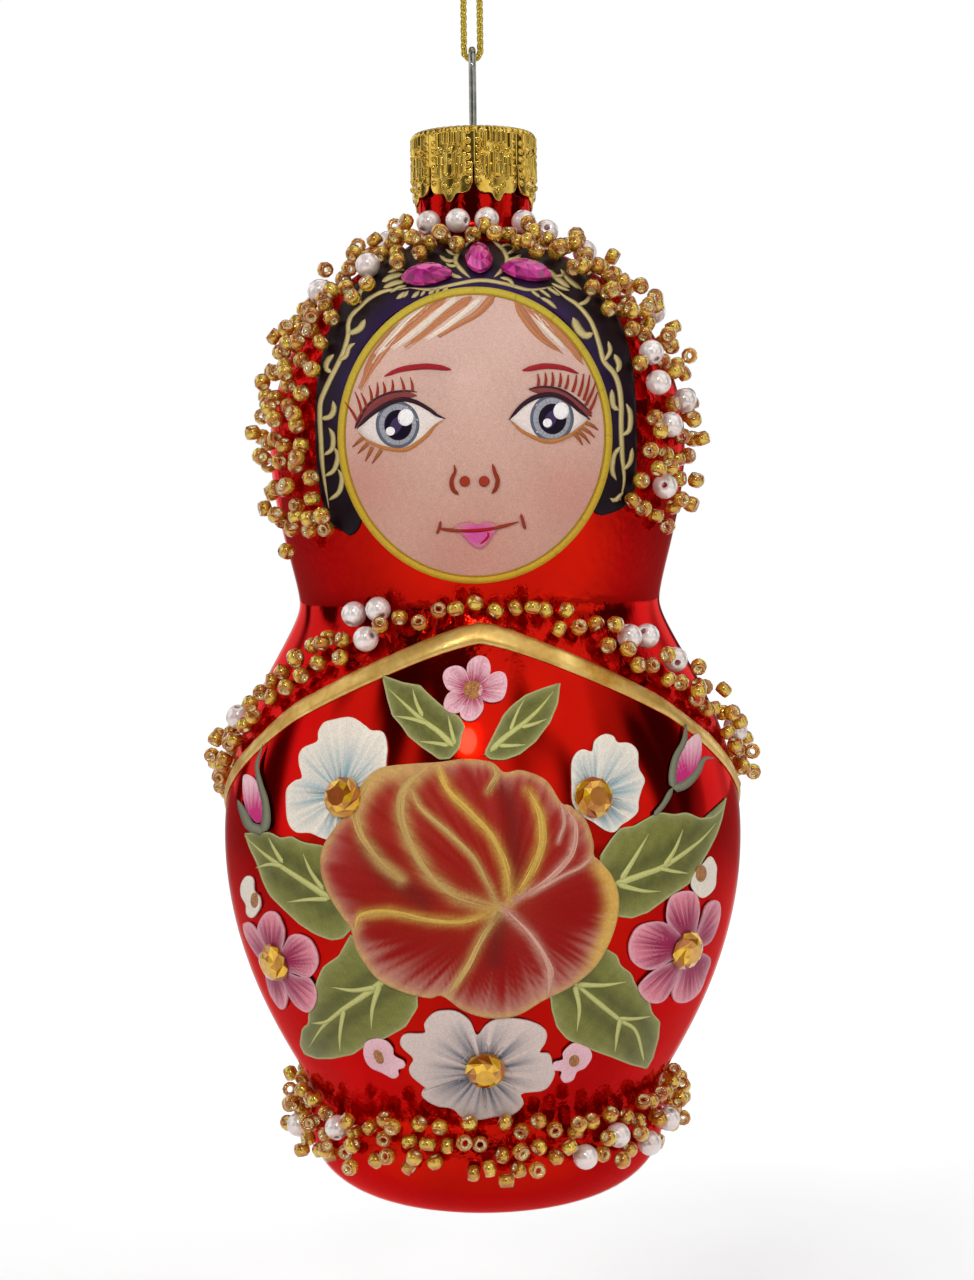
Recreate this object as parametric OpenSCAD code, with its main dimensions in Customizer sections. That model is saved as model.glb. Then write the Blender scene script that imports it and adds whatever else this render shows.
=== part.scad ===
// Hanging glass doll ornament: a blown-glass doll of the nesting-doll form, hung on a looped cord.
// The front faces -Y and +X is on the viewer's right. Z = 0 is where a hook bears on the cord loop.
// Inside the modules heights are counted up from the flat of the foot; hung() drops them to the hook.

/* [Glass doll] */
// Radius of the foot at its widest
foot_r = 22.2; // [20:0.1:24]
// Width of the rounding under the foot
foot_round_w = 10; // [6:0.5:12]
// Height of the rounding under the foot
foot_round_h = 8; // [5:0.5:9]
// Radius of the shallow groove above the foot
groove_r = 21.9; // [20:0.1:24]
// Height of the groove
groove_z = 12.5; // [11:0.5:14]
// Radius of the belly
belly_r = 32.2; // [29:0.1:36]
// Height of the belly's widest ring
belly_z = 44.5; // [41:0.5:47]
// Radius of the waist under the head
waist_r = 22.4; // [20:0.1:25]
// Height of the waist
waist_z = 73.3; // [71:0.1:76]
// Radius of the head
head_r = 25.7; // [23:0.1:29]
// Height of the head's widest ring
head_z = 92.5; // [90:0.5:96]
// Rise of the dome above the head's widest ring
dome_h = 25.8; // [23:0.1:28]
// Radius at which the dome turns up into the neck
crown_r = 9.6; // [8.5:0.1:11]
// Radius of the neck
neck_r = 6.9; // [6.5:0.1:7.2]
// Length of the straight neck
neck_l = 11; // [9.5:0.5:14]
// Thickness of the glass
glass_t = 0.9; // [0.6:0.1:1.2]

/* [Cap and hanger] */
// Gap between the neck and the inside of the cap
cap_gap = 0.4; // [0.3:0.05:0.8]
// Thickness of the stamped cap
cap_t = 0.3; // [0.2:0.05:0.5]
// Height of the cap from its top to the tips of its teeth
cap_h = 9.2; // [8:0.1:9.6]
// Number of petals round the cap
cap_petals = 8; // [6:1:10]
// Length of the slit between two petals, from the tips of the teeth
slit_l = 4.6; // [3:0.1:6]
// Radius of the pressed ribs on the cap
rib_r = 0.25; // [0.15:0.01:0.35]
// Diameter of the hanger wire
wire_d = 0.9; // [0.7:0.05:1.1]
// Distance between the two legs of the wire, centre to centre
eye_w = 5.4; // [5:0.1:6]
// Height of the wire's eye above the cap
eye_h = 10.7; // [9:0.1:14]
// Gap round each leg in the cap's holes
wire_gap = 0.1; // [0.05:0.01:0.2]
// Depth that the sprung legs reach below the cap's top
leg_l = 14; // [10:0.5:18]
// Gap between the leg tips and the bore of the neck
leg_gap = 0.35; // [0.2:0.05:0.8]

/* [Cord] */
// Diameter of the cord
cord_d = 0.85; // [0.7:0.05:0.9]
// Gap between the cord and the wire's eye
cord_gap = 0.125; // [0.1:0.005:0.2]

/* [Shawl] */
// Height of the shawl's edge at the front
hem_front_z = 69.3; // [67:0.1:70]
// Height of the shawl's edge at the sides
hem_side_z = 47.5; // [44:0.5:50]
// Height of the shawl's edge at the back
hem_back_z = 38; // [34:0.5:44]
// Depth by which the edge curves in beside its front peak
hem_dip = 1.1; // [0:0.1:2]
// Width of the gold trim
trim_w = 2.4; // [1.6:0.1:3.2]
// Thickness of the gold trim
trim_t = 0.4; // [0.2:0.05:0.6]

/* [Beads] */
// Diameter of a seed bead
bead_d = 2; // [1.6:0.05:2.2]
// Length of a seed bead
bead_l = 1.5; // [1.2:0.05:1.7]
// Diameter of a seed bead's hole
bead_hole_d = 0.8; // [0.5:0.05:1]
// Chamfer of a seed bead's rim
bead_chamfer = 0.25; // [0.15:0.01:0.3]
// Diameter of a pearl
pearl_d = 3; // [2.4:0.1:3.4]
// Diameter of a pearl's hole
pearl_hole_d = 0.7; // [0.5:0.05:0.9]
// Least gap between two beads
bead_gap = 0.06; // [0.05:0.01:0.1]
// Gap that the glue fills under a bead
glue_gap = 0.06; // [0.05:0.01:0.15]
// Half width of the hood's bead band at the bead centres
hood_half_w = 3; // [1.5:0.1:4]
// Half width of the base's bead ring at the bead centres
base_half_w = 3.4; // [1.5:0.1:4]
// Height of the middle of the base's bead ring
base_ring_z = 11; // [10:0.5:13]

/* [Pictures] */
// Thickness of a printed picture
decal_t = 0.12; // [0.08:0.01:0.2]
// Gap under a picture, and between pictures that lie over each other
decal_gap = 0.05; // [0.03:0.01:0.1]
// Height of the middle of the face
face_z = 93.2; // [91:0.1:95]
// Half width of the headband
band_half_w = 18.7; // [16:0.1:19.5]
// Half height of the headband
band_half_h = 22.3; // [20.5:0.1:22.6]
// Width of the headband beside the face
band_side_w = 3.2; // [2.2:0.1:4]
// Width of the headband over the face
band_top_w = 5.5; // [4:0.1:6.5]
// Height at which the headband ends beside the cheeks
band_end_z = 82.5; // [80:0.5:88]
// Half width of the rose
rose_half_w = 16.7; // [14:0.1:18]
// Half height of the rose
rose_half_h = 14.3; // [12:0.1:15.5]

/* [Stones] */
// Diameter of an amber stone
stone_d = 4.7; // [3:0.1:5.4]
// Height of an amber stone
stone_h = 1.6; // [1.2:0.1:2.2]
// Length of a headband stone
navette_l = 6.2; // [5:0.1:7]
// Width of a headband stone
navette_w = 3.3; // [2.6:0.1:4]
// Height of a headband stone
navette_h = 1.5; // [1:0.1:2]

/* [Hidden] */
$fn = 48;

red_glass = "#b4100c";
gold = "#c79a2c";
amber = "#c88a1c";
pearl_white = "#f2e6e0";
leaf_green = "#6d7a3c";
petal_white = "#ece6dc";
petal_pink = "#d98aa0";
magenta = "#b0107c";

// Outline of the glass, as [radius, height] from the flat of the foot up to the neck's rim.
// A stretch joins two rings with upright tangents; its handles set how full it is.
function bezier(p, n) = [
    for (i = [1:n]) let (t = i / n, s = 1 - t)
        s * s * s * p[0] + 3 * s * s * t * p[1] + 3 * s * t * t * p[2] + t * t * t * p[3]
];
function stretch(low, high, low_handle, high_handle, n) =
    bezier([low, low + [0, low_handle], high - [0, high_handle], high], n);

foot_flat_r = foot_r - foot_round_w;
foot_ring = [foot_r, foot_round_h];
groove_ring = [groove_r, groove_z];
belly_ring = [belly_r, belly_z];
waist_ring = [waist_r, waist_z];
head_ring = [head_r, head_z];
dome_end = acos(crown_r / head_r);
crown_ring = [crown_r, head_z + dome_h * sin(dome_end)];
neck_fillet_h = 3.2;
neck_z = crown_ring[1] + neck_fillet_h;
neck_top = neck_z + neck_l;
neck_bore_r = neck_r - glass_t;
outline = concat(
    [[foot_flat_r, 0]],
    [for (a = [-75:15:0]) [foot_flat_r + foot_round_w * cos(a), foot_round_h * (1 + sin(a))]],
    stretch(foot_ring, groove_ring, 2, 2, 3),
    stretch(groove_ring, belly_ring, 2.5, 18, 11),
    stretch(belly_ring, waist_ring, 15, 4, 11),
    stretch(waist_ring, head_ring, 3, 8, 8),
    [for (i = [1:11]) let (a = dome_end * i / 11) [head_r * cos(a), head_z + dome_h * sin(a)]],
    bezier([crown_ring, crown_ring + [-1.7, 0.7], [neck_r, neck_z - 1.2], [neck_r, neck_z]], 4),
    [[neck_r, neck_top]]
);
outline_end = len(outline) - 1;
// Direction square to the outline at one of its points
function outline_normal(i) =
    i == 0 ? [0, -1] :
    i == outline_end ? [1, 0] :
    let (t = outline[i + 1] - outline[i - 1]) [t[1], -t[0]] / norm(t);
function skin(lift) = [for (i = [0:outline_end]) outline[i] + lift * outline_normal(i)];
outline_radii = [for (p = outline) [p[1], p[0]]];
function radius_at(z) = lookup(z, outline_radii);
function slope_at(z) = (radius_at(z + 0.4) - radius_at(z - 0.4)) / 0.8;
// A point over the glass at an azimuth from the front and a height: [place, outward direction]
function over_glass(az, z, lift) =
    let (r = radius_at(z), out = [sin(az), -cos(az), -slope_at(z)], n = out / norm(out))
    [[r * sin(az), -r * cos(az), z] + lift * n, n];

// Heights of the hanging parts
cap_r = neck_r + cap_gap + cap_t;
cap_top = neck_top + cap_t;
cap_tip_z = cap_top - cap_h;
eye_r = eye_w / 2;
eye_top = cap_top + eye_h;
eye_arc_z = eye_top - wire_d / 2 - eye_r;

// The cord: from the knot down, under the wire's eye and up to the knot again, as [x, z] from the hook
cord_half = [
    [0.6, 1.1], [1.2, 0.4], [1.8, -0.8], [2.1, -2.5], [2.1, -5], [2, -8], [1.8, -11], [1.6, -14], [1.4, -17],
    [1.2, -20], [1.1, -23], [1, -26], [1, -29], [1, -31.5], [1, -33.4], [0.9, -34], [0.5, -34.4]
];
cord_low = [0, -34.5];
cord_drop = -cord_low[1] - cord_d / 2 - wire_d / 2 - cord_gap;
hook_z = eye_top - wire_d / 2 + cord_drop;

module hung() {
    translate([0, 0, -hook_z]) children();
}
// Sets its children on the glass, their +Z outwards, +X down the doll and +Y to the viewer's right
module on_glass(place, spin = 0) {
    n = place[1];
    translate(place[0]) rotate([0, acos(n[2]), atan2(n[1], n[0])]) rotate(spin) children();
}

// The blown glass, open at the neck
module glass_doll() {
    inner = skin(-glass_t);
    wall = concat(
        [[0, 0]], outline,
        [for (i = [outline_end:-1:0]) i == outline_end ? [neck_bore_r, neck_top] : inner[i]],
        [[0, glass_t]]
    );
    color(red_glass) hung() rotate_extrude() polygon(wall);
}

// The stamped cap, slit into petals with a tooth in the middle of each
petal_turn = 360 / cap_petals;
petal_half_w = cap_r * sin(petal_turn / 2);
slit_half_w = 0.14;
tooth_half_w = 0.75;
tooth_mid_w = 0.42;
tooth_tip_w = 0.1;
lobe_z = 1.15;
cap_edge = 0.8;
rib_clear = 0.3;
module slit_outline() {
    side = [
        [slit_half_w, slit_l], [slit_half_w, lobe_z + 0.9], [0.5, lobe_z + 0.2], [1.2, lobe_z - 0.1],
        [petal_half_w - tooth_half_w, lobe_z], [petal_half_w - tooth_mid_w, lobe_z / 2],
        [petal_half_w - tooth_tip_w, -lobe_z]
    ];
    polygon(concat(side, [for (i = [len(side) - 1:-1:0]) [-side[i][0], side[i][1]]]));
}
module cap_crown() {
    wall = concat(
        [[0, neck_top], [cap_r - cap_t, neck_top], [cap_r - cap_t, cap_tip_z], [cap_r, cap_tip_z]],
        [for (a = [0:30:90]) [cap_r - cap_edge * (1 - cos(a)), cap_top - cap_edge * (1 - sin(a))]],
        [[0, cap_top]]
    );
    rib_low = cap_tip_z + slit_l + rib_clear;
    rib_l = cap_top - cap_edge - rib_clear - rib_low;
    color(gold) hung() difference() {
        union() {
            rotate_extrude() polygon(wall);
            for (k = [0:cap_petals - 1], j = [-1:1])
                rotate((k + 0.5 + j * 0.25) * petal_turn)
                    translate([cap_r + rib_r - cap_t * 0.7, 0, rib_low]) cylinder(r = rib_r, h = rib_l);
        }
        for (k = [0:cap_petals - 1])
            rotate(k * petal_turn) translate([0, -cap_r / 2, cap_tip_z]) rotate([90, 0, 0])
                linear_extrude(cap_r) slit_outline();
        for (side = [-1, 1])
            translate([0, side * eye_r, neck_top - 1]) cylinder(d = wire_d + 2 * wire_gap, h = cap_t + 2);
    }
}

// The sprung hanger: an eye over the cap, and two legs that turn outwards inside the neck
bend_drop = 0.3;
bend_z = neck_top - bend_drop;
leg_tip_y = neck_bore_r - leg_gap - wire_d / 2;
leg_spread = atan((leg_tip_y - eye_r) / leg_l);
leg_run = leg_l / cos(leg_spread);
// Each leg's upper end tapers into the straight wire
leg_root = 0.4;
module sprung_leg() {
    translate([0, eye_r, bend_z]) {
        cylinder(d = wire_d, h = eye_arc_z - bend_z);
        rotate([180 + leg_spread, 0, 0]) rotate_extrude() intersection() {
            union() {
                polygon([
                    [0, -leg_root], [wire_d / 4, -leg_root], [wire_d / 2, leg_root], [wire_d / 2, leg_run],
                    [0, leg_run]
                ]);
                translate([0, leg_run]) circle(d = wire_d);
            }
            translate([0, -leg_root]) square([wire_d / 2, leg_root + leg_run + wire_d]);
        }
    }
}
module hanger_wire() {
    color("slategray") hung() {
        translate([0, 0, eye_arc_z]) rotate([90, 0, 90])
            rotate_extrude(angle = 180) translate([eye_r, 0]) circle(d = wire_d);
        sprung_leg();
        mirror([0, 1, 0]) sprung_leg();
    }
}

// The cord, one tube swept along both halves of its route
cord_route = concat(
    [for (p = cord_half) [-p[0], p[1]]], [cord_low], [for (i = [len(cord_half) - 1:-1:0]) cord_half[i]]
);
cord_sides = 8;
cord_end = len(cord_route) - 1;
cord_rings = [
    for (i = [0:cord_end]) let (
        t = cord_route[min(i + 1, cord_end)] - cord_route[max(i - 1, 0)],
        out = [t[1], -t[0]] / norm(t)
    ) for (k = [0:cord_sides - 1]) let (a = k * 360 / cord_sides, side = cord_d / 2 * cos(a))
        [cord_route[i][0] + side * out[0], cord_d / 2 * sin(a), cord_route[i][1] + side * out[1]]
];
module hang_cord() {
    walls = [
        for (i = [0:cord_end - 1], k = [0:cord_sides - 1]) let (j = (k + 1) % cord_sides, a = i * cord_sides)
            each [[a + k, a + j, a + j + cord_sides], [a + k, a + j + cord_sides, a + k + cord_sides]]
    ];
    first = [for (k = [1:cord_sides - 2]) [0, k + 1, k]];
    last = [for (k = [1:cord_sides - 2]) [0, k, k + 1] + [1, 1, 1] * cord_end * cord_sides];
    color(gold) polyhedron(cord_rings, concat(walls, first, last));
}
knot_z = 1.8;
knot_turn_r = 0.85;
tail_l = 4.5;
module cord_knot() {
    color(gold) translate([0, 0, knot_z]) {
        sphere(r = knot_turn_r);
        for (side = [-1, 1]) {
            rotate([side * 28, side * 12, 0]) rotate_extrude() translate([knot_turn_r, 0]) circle(d = cord_d);
            rotate([0, side * 22, 0]) cylinder(d = cord_d, h = tail_l);
        }
    }
}

// The shawl's gold edge, all round the shoulders. Its height follows the azimuth from the front.
hem_swing = (hem_front_z - hem_back_z) / 2;
hem_mid = (hem_front_z + hem_back_z) / 4 + hem_side_z / 2;
hem_double = (hem_front_z + hem_back_z) / 4 - hem_side_z / 2;
hem_dip_turn = 50;
function from_front(az) = let (a = abs(az) % 360) a > 180 ? 360 - a : a;
function hem_z(az) =
    let (a = from_front(az), dip = a < hem_dip_turn ? hem_dip * sin(180 * a / hem_dip_turn) : 0)
    hem_mid + hem_swing * cos(a) + hem_double * cos(2 * a) - dip;
// The place of a picture that hangs under the shawl's edge
function under_hem(az, drop) = [az, hem_z(az) - drop];
trim_gap = 0.1;
trim_steps = 90;
module shawl_trim() {
    rings = [
        for (i = [0:trim_steps - 1]) let (az = 360 * i / trim_steps, low = hem_z(az), high = low + trim_w)
            each [
                over_glass(az, low, trim_gap)[0], over_glass(az, low, trim_gap + trim_t)[0],
                over_glass(az, high, trim_gap + trim_t)[0], over_glass(az, high, trim_gap)[0]
            ]
    ];
    walls = [
        for (i = [0:trim_steps - 1], k = [0:3])
            let (a = 4 * i, b = 4 * ((i + 1) % trim_steps), j = (k + 1) % 4)
            each [[a + k, b + k, b + j], [a + k, b + j, a + j]]
    ];
    color(gold) hung() polyhedron(rings, walls);
}

// Printed pictures that follow the glass. A picture on a higher level lies over its neighbours.
function level_lift(level) = decal_gap + level * (decal_t + decal_gap);
module picture(at, reach, level, shade) {
    low = at[1] - reach[1] - 2;
    high = at[1] + reach[1] + 2;
    turn = asin(min(0.9, reach[0] / radius_at(at[1]))) + 14;
    under = skin(level_lift(level));
    over = skin(level_lift(level) + decal_t);
    rows = [for (i = [0:outline_end]) if (outline[i][1] > low && outline[i][1] < high) i];
    band = concat([for (i = rows) under[i]], [for (k = [len(rows) - 1:-1:0]) over[rows[k]]]);
    color(shade) hung() rotate(at[0]) intersection() {
        rotate(-90 - turn) rotate_extrude(angle = 2 * turn) polygon(band);
        translate([0, 0, at[1]]) rotate([90, 0, 0]) linear_extrude(2 * belly_r) children();
    }
}
module oval(half_w, half_h) {
    polygon([for (a = [0:7.5:359]) [half_w * cos(a), half_h * sin(a)]]);
}
// Petals whose tips are round and whose meetings are sharp
module petals(half_w, half_h, count, notch, turn = 0) {
    polygon([
        for (a = [0:6:359]) let (lobe = 1 - notch + notch * pow(abs(cos(count * (a - turn) / 2)), 0.6))
            [half_w * lobe * cos(a), half_h * lobe * sin(a)]
    ]);
}
// A pointed leaf from its stalk at the origin
module leaf(length, width, turn) {
    edge = [for (s = [0:0.1:1]) [s * length, width / 2 * sin(180 * pow(s, 0.85))]];
    rotate(turn) translate([-length / 2, 0])
        polygon(concat(edge, [for (i = [len(edge) - 2:-1:1]) [edge[i][0], -edge[i][1]]]));
}

under_level = 0;
middle_level = 1;
top_level = 2;

// The face fills the headband, whose inner edge it covers
face_at = [0, face_z];
face_half_w = band_half_w - band_side_w;
face_half_h = band_half_h - band_top_w;
band_overlap = 0.7;
module face_disc() {
    picture(face_at, [face_half_w, face_half_h], middle_level, "#e3b3a6") oval(face_half_w, face_half_h);
}
module headband() {
    picture(face_at, [band_half_w, band_half_h], under_level, "#1d1424") difference() {
        oval(band_half_w, band_half_h);
        oval(face_half_w - band_overlap, face_half_h - band_overlap);
        translate([-band_half_w, band_end_z - face_z - 2 * band_half_h]) square(2 * [band_half_w, band_half_h]);
    }
}
rose_at = [-3, 42];
rose_petals = 7;
module rose() {
    picture(rose_at, [rose_half_w, rose_half_h], top_level, "#a31d1c")
        petals(rose_half_w, rose_half_h, rose_petals, 0.1, 12);
}

// Leaves: the place of the middle as [azimuth, height], the size as [length, width], and the tip's direction
leaf_top_size = [12, 5.6];
leaf_mid_size = [21.5, 9];
leaf_low_size = [21.5, 9.5];
leaf_top_left_at = under_hem(-14.6, 6.5);
leaf_top_right_at = under_hem(10.6, 7.4);
leaf_mid_left_at = [-46, 41.5];
leaf_mid_right_at = [46, 44];
leaf_low_left_at = [-39, 25.6];
leaf_low_right_at = [32, 24.6];
module leaf_picture(at, size, turn) {
    reach = [size[0] / 2 * abs(cos(turn)) + size[1] / 2, size[0] / 2 * abs(sin(turn)) + size[1] / 2];
    picture(at, reach, under_level, leaf_green) leaf(size[0], size[1], turn);
}
module leaf_top_left() { leaf_picture(leaf_top_left_at, leaf_top_size, 138); }
module leaf_top_right() { leaf_picture(leaf_top_right_at, leaf_top_size, 41); }
module leaf_mid_left() { leaf_picture(leaf_mid_left_at, leaf_mid_size, 150); }
module leaf_mid_right() { leaf_picture(leaf_mid_right_at, leaf_mid_size, 25); }
module leaf_low_left() { leaf_picture(leaf_low_left_at, leaf_low_size, 212); }
module leaf_low_right() { leaf_picture(leaf_low_right_at, leaf_low_size, -35); }

// Flowers: the place of the middle, the half size as [across, up], and the direction of the first petal
flower_petals = 5;
white_notch = 0.2;
pink_notch = 0.34;
white_left_at = under_hem(-32, 9.8);
white_right_at = under_hem(27, 11.6);
white_low_at = [-2, 21.2];
pink_left_at = [-51, 32.4];
pink_right_at = [47, 33.4];
pink_top_at = under_hem(-2, 5.5);
pink_sprig_left_at = [-28, 21];
pink_sprig_right_at = [24, 21];
white_sprig_left_at = [-66, 39.3];
white_sprig_right_at = [56, 42.8];
sprig_half = [2.5, 2.5];
module flower(at, half, notch, turn, shade) {
    picture(at, half, middle_level, shade) petals(half[0], half[1], flower_petals, notch, turn);
}
module white_flower_left() { flower(white_left_at, [7, 7.2], white_notch, 80, petal_white); }
module white_flower_right() { flower(white_right_at, [6, 6.4], white_notch, 95, petal_white); }
module white_flower_low() { flower(white_low_at, [8.6, 6.8], white_notch, 60, petal_white); }
module pink_flower_left() { flower(pink_left_at, [6.3, 6.4], pink_notch, 96, petal_pink); }
module pink_flower_right() { flower(pink_right_at, [6.5, 6.7], pink_notch, 84, petal_pink); }
module pink_flower_top() { flower(pink_top_at, [3.5, 4], pink_notch, 90, petal_pink); }
module pink_sprig_left() { flower(pink_sprig_left_at, sprig_half, pink_notch, 120, petal_pink); }
module pink_sprig_right() { flower(pink_sprig_right_at, sprig_half, pink_notch, 60, petal_pink); }
module white_sprig_left() { flower(white_sprig_left_at, sprig_half, pink_notch, 90, petal_white); }
module white_sprig_right() { flower(white_sprig_right_at, sprig_half, pink_notch, 70, petal_white); }

bud_size = [7.5, 3.6];
bud_left_at = under_hem(-58, 5.9);
bud_right_at = under_hem(53, 5.1);
module bud(at, turn) {
    picture(at, [bud_size[1], bud_size[0] / 2], middle_level, petal_pink) leaf(bud_size[0], bud_size[1], turn);
}
module bud_left() { bud(bud_left_at, 98); }
module bud_right() { bud(bud_right_at, 76); }

// Stones glued over the pictures, each set off a little from the middle of its flower
stone_seat = 0.05;
stone_lift = level_lift(top_level) + stone_seat;
stone_girdle = 0.3;
stone_crown = 0.8;
module amber_stone(at) {
    section = [
        [0, 0], [stone_d / 2, 0], [stone_d / 2, stone_h * stone_girdle], [stone_d * 0.38, stone_h * stone_crown],
        [stone_d * 0.24, stone_h], [0, stone_h]
    ];
    color(amber) hung() on_glass(over_glass(at[0], at[1], stone_lift)) rotate_extrude() polygon(section);
}
module amber_stone_left() { amber_stone(white_left_at + [2.5, -2.2]); }
module amber_stone_right() { amber_stone(white_right_at + [-3.8, -1.6]); }
module amber_stone_side_left() { amber_stone(pink_left_at + [-1.2, -0.4]); }
module amber_stone_side_right() { amber_stone(pink_right_at + [1.8, -0.3]); }
module amber_stone_low() { amber_stone(white_low_at + [2, -0.3]); }

// A boat-shaped stone, flat below and domed above, its length along Y
navette_arc_r = (navette_l * navette_l + navette_w * navette_w) / (4 * navette_w);
navette_girdle = 0.4;
navette_rise = navette_h - navette_girdle;
navette_dome_r = (navette_l * navette_l / 4 + navette_rise * navette_rise) / (2 * navette_rise);
navette_lift = level_lift(middle_level) + 0.1;
module navette(place, spin) {
    color(magenta) hung() on_glass(place, spin) intersection() {
        intersection_for (side = [-1, 1])
            translate([side * (navette_arc_r - navette_w / 2), 0, 0]) cylinder(r = navette_arc_r, h = navette_h);
        translate([0, 0, navette_h - navette_dome_r]) sphere(r = navette_dome_r);
    }
}
stone_left_place = over_glass(-18.5, 111.6, navette_lift);
stone_middle_place = over_glass(2, 113.6, navette_lift);
stone_right_place = over_glass(20.5, 112, navette_lift);
module headband_stone_left() { navette(stone_left_place, 4); }
module headband_stone_middle() { navette(stone_middle_place, 90); }
module headband_stone_right() { navette(stone_right_place, -14); }

// Beads. Each is kept as [centre, outward direction, radius of its sphere, spin, tilt].
bead_half = norm([bead_d / 2, bead_l / 2 - bead_chamfer]);
bead_seat = level_lift(under_level) + decal_t + glue_gap;
pearl_r = pearl_d / 2;
pile_rise = 1.55;
function bead_over(az, z, lift, spin, tilt) =
    let (at = over_glass(az, z, bead_half + bead_seat + lift)) [at[0], at[1], bead_half, spin, tilt];
function pearl_over(az, z, lift, spin) =
    let (at = over_glass(az, z, pearl_r + bead_seat + lift)) [at[0], at[1], pearl_r, spin, 25];
function clear_of(bead, others) =
    len([for (o = others) if (norm(o[0] - bead[0]) < o[2] + bead[2] + bead_gap) 1]) == 0;
// Drops the beads one after another, leaving out each that has no room
function settle(drops, lying, i = 0) =
    i == len(drops) ? lying :
    settle(drops, clear_of(drops[i], lying) ? concat(lying, [drops[i]]) : lying, i + 1);
// Random numbers from 0 to 1, five for each dropped bead
function draws(count, seed) =
    let (r = rands(0, 1, 5 * count, seed)) [for (i = [0:count - 1]) [for (k = [0:4]) r[5 * i + k]]];
// The later drops lie on the first layer, and one bead in four stands on end
function drop_lift(i, count) = i < count * 0.65 ? 0 : pile_rise;
function drop_tilt(d) = d < 0.75 ? 24 * d : 60 + 120 * (d - 0.75);

module seed_bead() {
    half = bead_l / 2;
    r = bead_d / 2;
    hole = bead_hole_d / 2;
    rotate_extrude($fn = 24) polygon([
        [hole, -half], [r - bead_chamfer, -half], [r, bead_chamfer - half], [r, half - bead_chamfer],
        [r - bead_chamfer, half], [hole, half]
    ]);
}
module pearl() {
    difference() {
        sphere(r = pearl_r, $fn = 32);
        cylinder(d = pearl_hole_d, h = 2 * pearl_d, center = true, $fn = 16);
    }
}
module gold_beads(beads) {
    color(amber) hung() for (b = beads) on_glass(b, b[3]) rotate([0, 90 - b[4], 0]) seed_bead();
}
module pearls(beads) {
    color(pearl_white) hung() for (b = beads) on_glass(b, b[3]) rotate([0, 90 - b[4], 0]) pearl();
}

// The hood's band runs over the head, t degrees round the face and v outwards from its middle line
hood_z = 95;
hood_half_x = 22;
hood_half_z = 22.5;
hood_from = -125;
hood_to = 120;
hood_top_z = neck_z - 0.6;
function hood_place(t, v) =
    let (z = hood_z + (hood_half_z + v) * cos(t), x = (hood_half_x + v) * sin(t), r = radius_at(z))
    [asin(max(-1, min(1, x / r))), z, abs(x) < r * 0.99 && z < hood_top_z];
hood_pearl_places = [
    [-11, 1.6], [-4, 1.2], [3, 1.4], [12, 1.6], [20, 1], [34, 1.5], [-29, 1.8], [-35, -1.2], [-50, 1], [59, 1.6],
    [70, -1.4], [79.5, -1.6], [85, 1.4], [92, -0.6], [110, 0]
];
function hood_pearl_list() = [
    for (i = [0:len(hood_pearl_places) - 1])
        let (p = hood_pearl_places[i], at = hood_place(p[0], p[1])) pearl_over(at[0], at[1], 0, i * 70)
];
// Room kept for the headband's stones, as balls along each stone
function stone_balls(place, along) = [
    for (s = [-1:0.5:1]) [place[0] + s * (navette_l - navette_w) / 2 * along, place[1], navette_w / 2, 0, 0]
];
function across(place) = let (n = place[1]) [-n[1], n[0], 0] / norm([n[0], n[1]]);
function stone_room() = concat(
    stone_balls(stone_left_place, across(stone_left_place)),
    stone_balls(stone_middle_place, cross(stone_middle_place[1], across(stone_middle_place))),
    stone_balls(stone_right_place, across(stone_right_place))
);
hood_drops = 2400;
function hood_bead_list() =
    let (
        d = draws(hood_drops, 11),
        drops = [
            for (i = [0:hood_drops - 1]) let (
                t = hood_from + (hood_to - hood_from) * d[i][0],
                at = hood_place(t, hood_half_w * (2 * d[i][1] - 1)),
                b = bead_over(at[0], at[1], drop_lift(i, hood_drops), 360 * d[i][2], drop_tilt(d[i][3])),
                off_neck = norm([b[0][0], b[0][1]]) > neck_r + bead_half + glue_gap
            ) if (at[2] && off_neck) b
        ],
        kept = concat(hood_pearl_list(), stone_room()),
        lying = settle(drops, kept)
    )
    [for (i = [len(kept):1:len(lying) - 1]) lying[i]];
module hood_beads() { gold_beads(hood_bead_list()); }
module hood_pearls() { pearls(hood_pearl_list()); }

// The shoulder band follows the upper side of the gold trim
shoulder_low = trim_w + bead_half + 0.3;
function shoulder_width(az) = 1.8 + 3.4 * abs(sin(az));
shoulder_pearl_places = [
    [-37, 5.4], [-29, 4.4], [-31, 0.9], [-75, 3.4], [43, 3.2], [50, 4.8], [58, 4.4], [81, 2.6],
    [-118, 2], [-150, 1.5], [-171, 2.4], [124, 2.2], [146, 1.2], [168, 1.8]
];
function shoulder_pearl_list() = [
    for (i = [0:len(shoulder_pearl_places) - 1])
        let (p = shoulder_pearl_places[i]) pearl_over(p[0], hem_z(p[0]) + shoulder_low + p[1], 0, i * 50)
];
shoulder_drops = 3000;
function shoulder_bead_list() =
    let (
        d = draws(shoulder_drops, 23),
        drops = [
            for (i = [0:shoulder_drops - 1]) let (
                az = 360 * d[i][0] - 180,
                z = hem_z(az) + shoulder_low + shoulder_width(az) * d[i][1]
            ) bead_over(az, z, drop_lift(i, shoulder_drops), 360 * d[i][2], drop_tilt(d[i][3]))
        ],
        kept = shoulder_pearl_list(),
        lying = settle(drops, kept)
    )
    [for (i = [len(kept):1:len(lying) - 1]) lying[i]];
module shoulder_beads() { gold_beads(shoulder_bead_list()); }
module shoulder_pearls() { pearls(shoulder_pearl_list()); }

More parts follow.
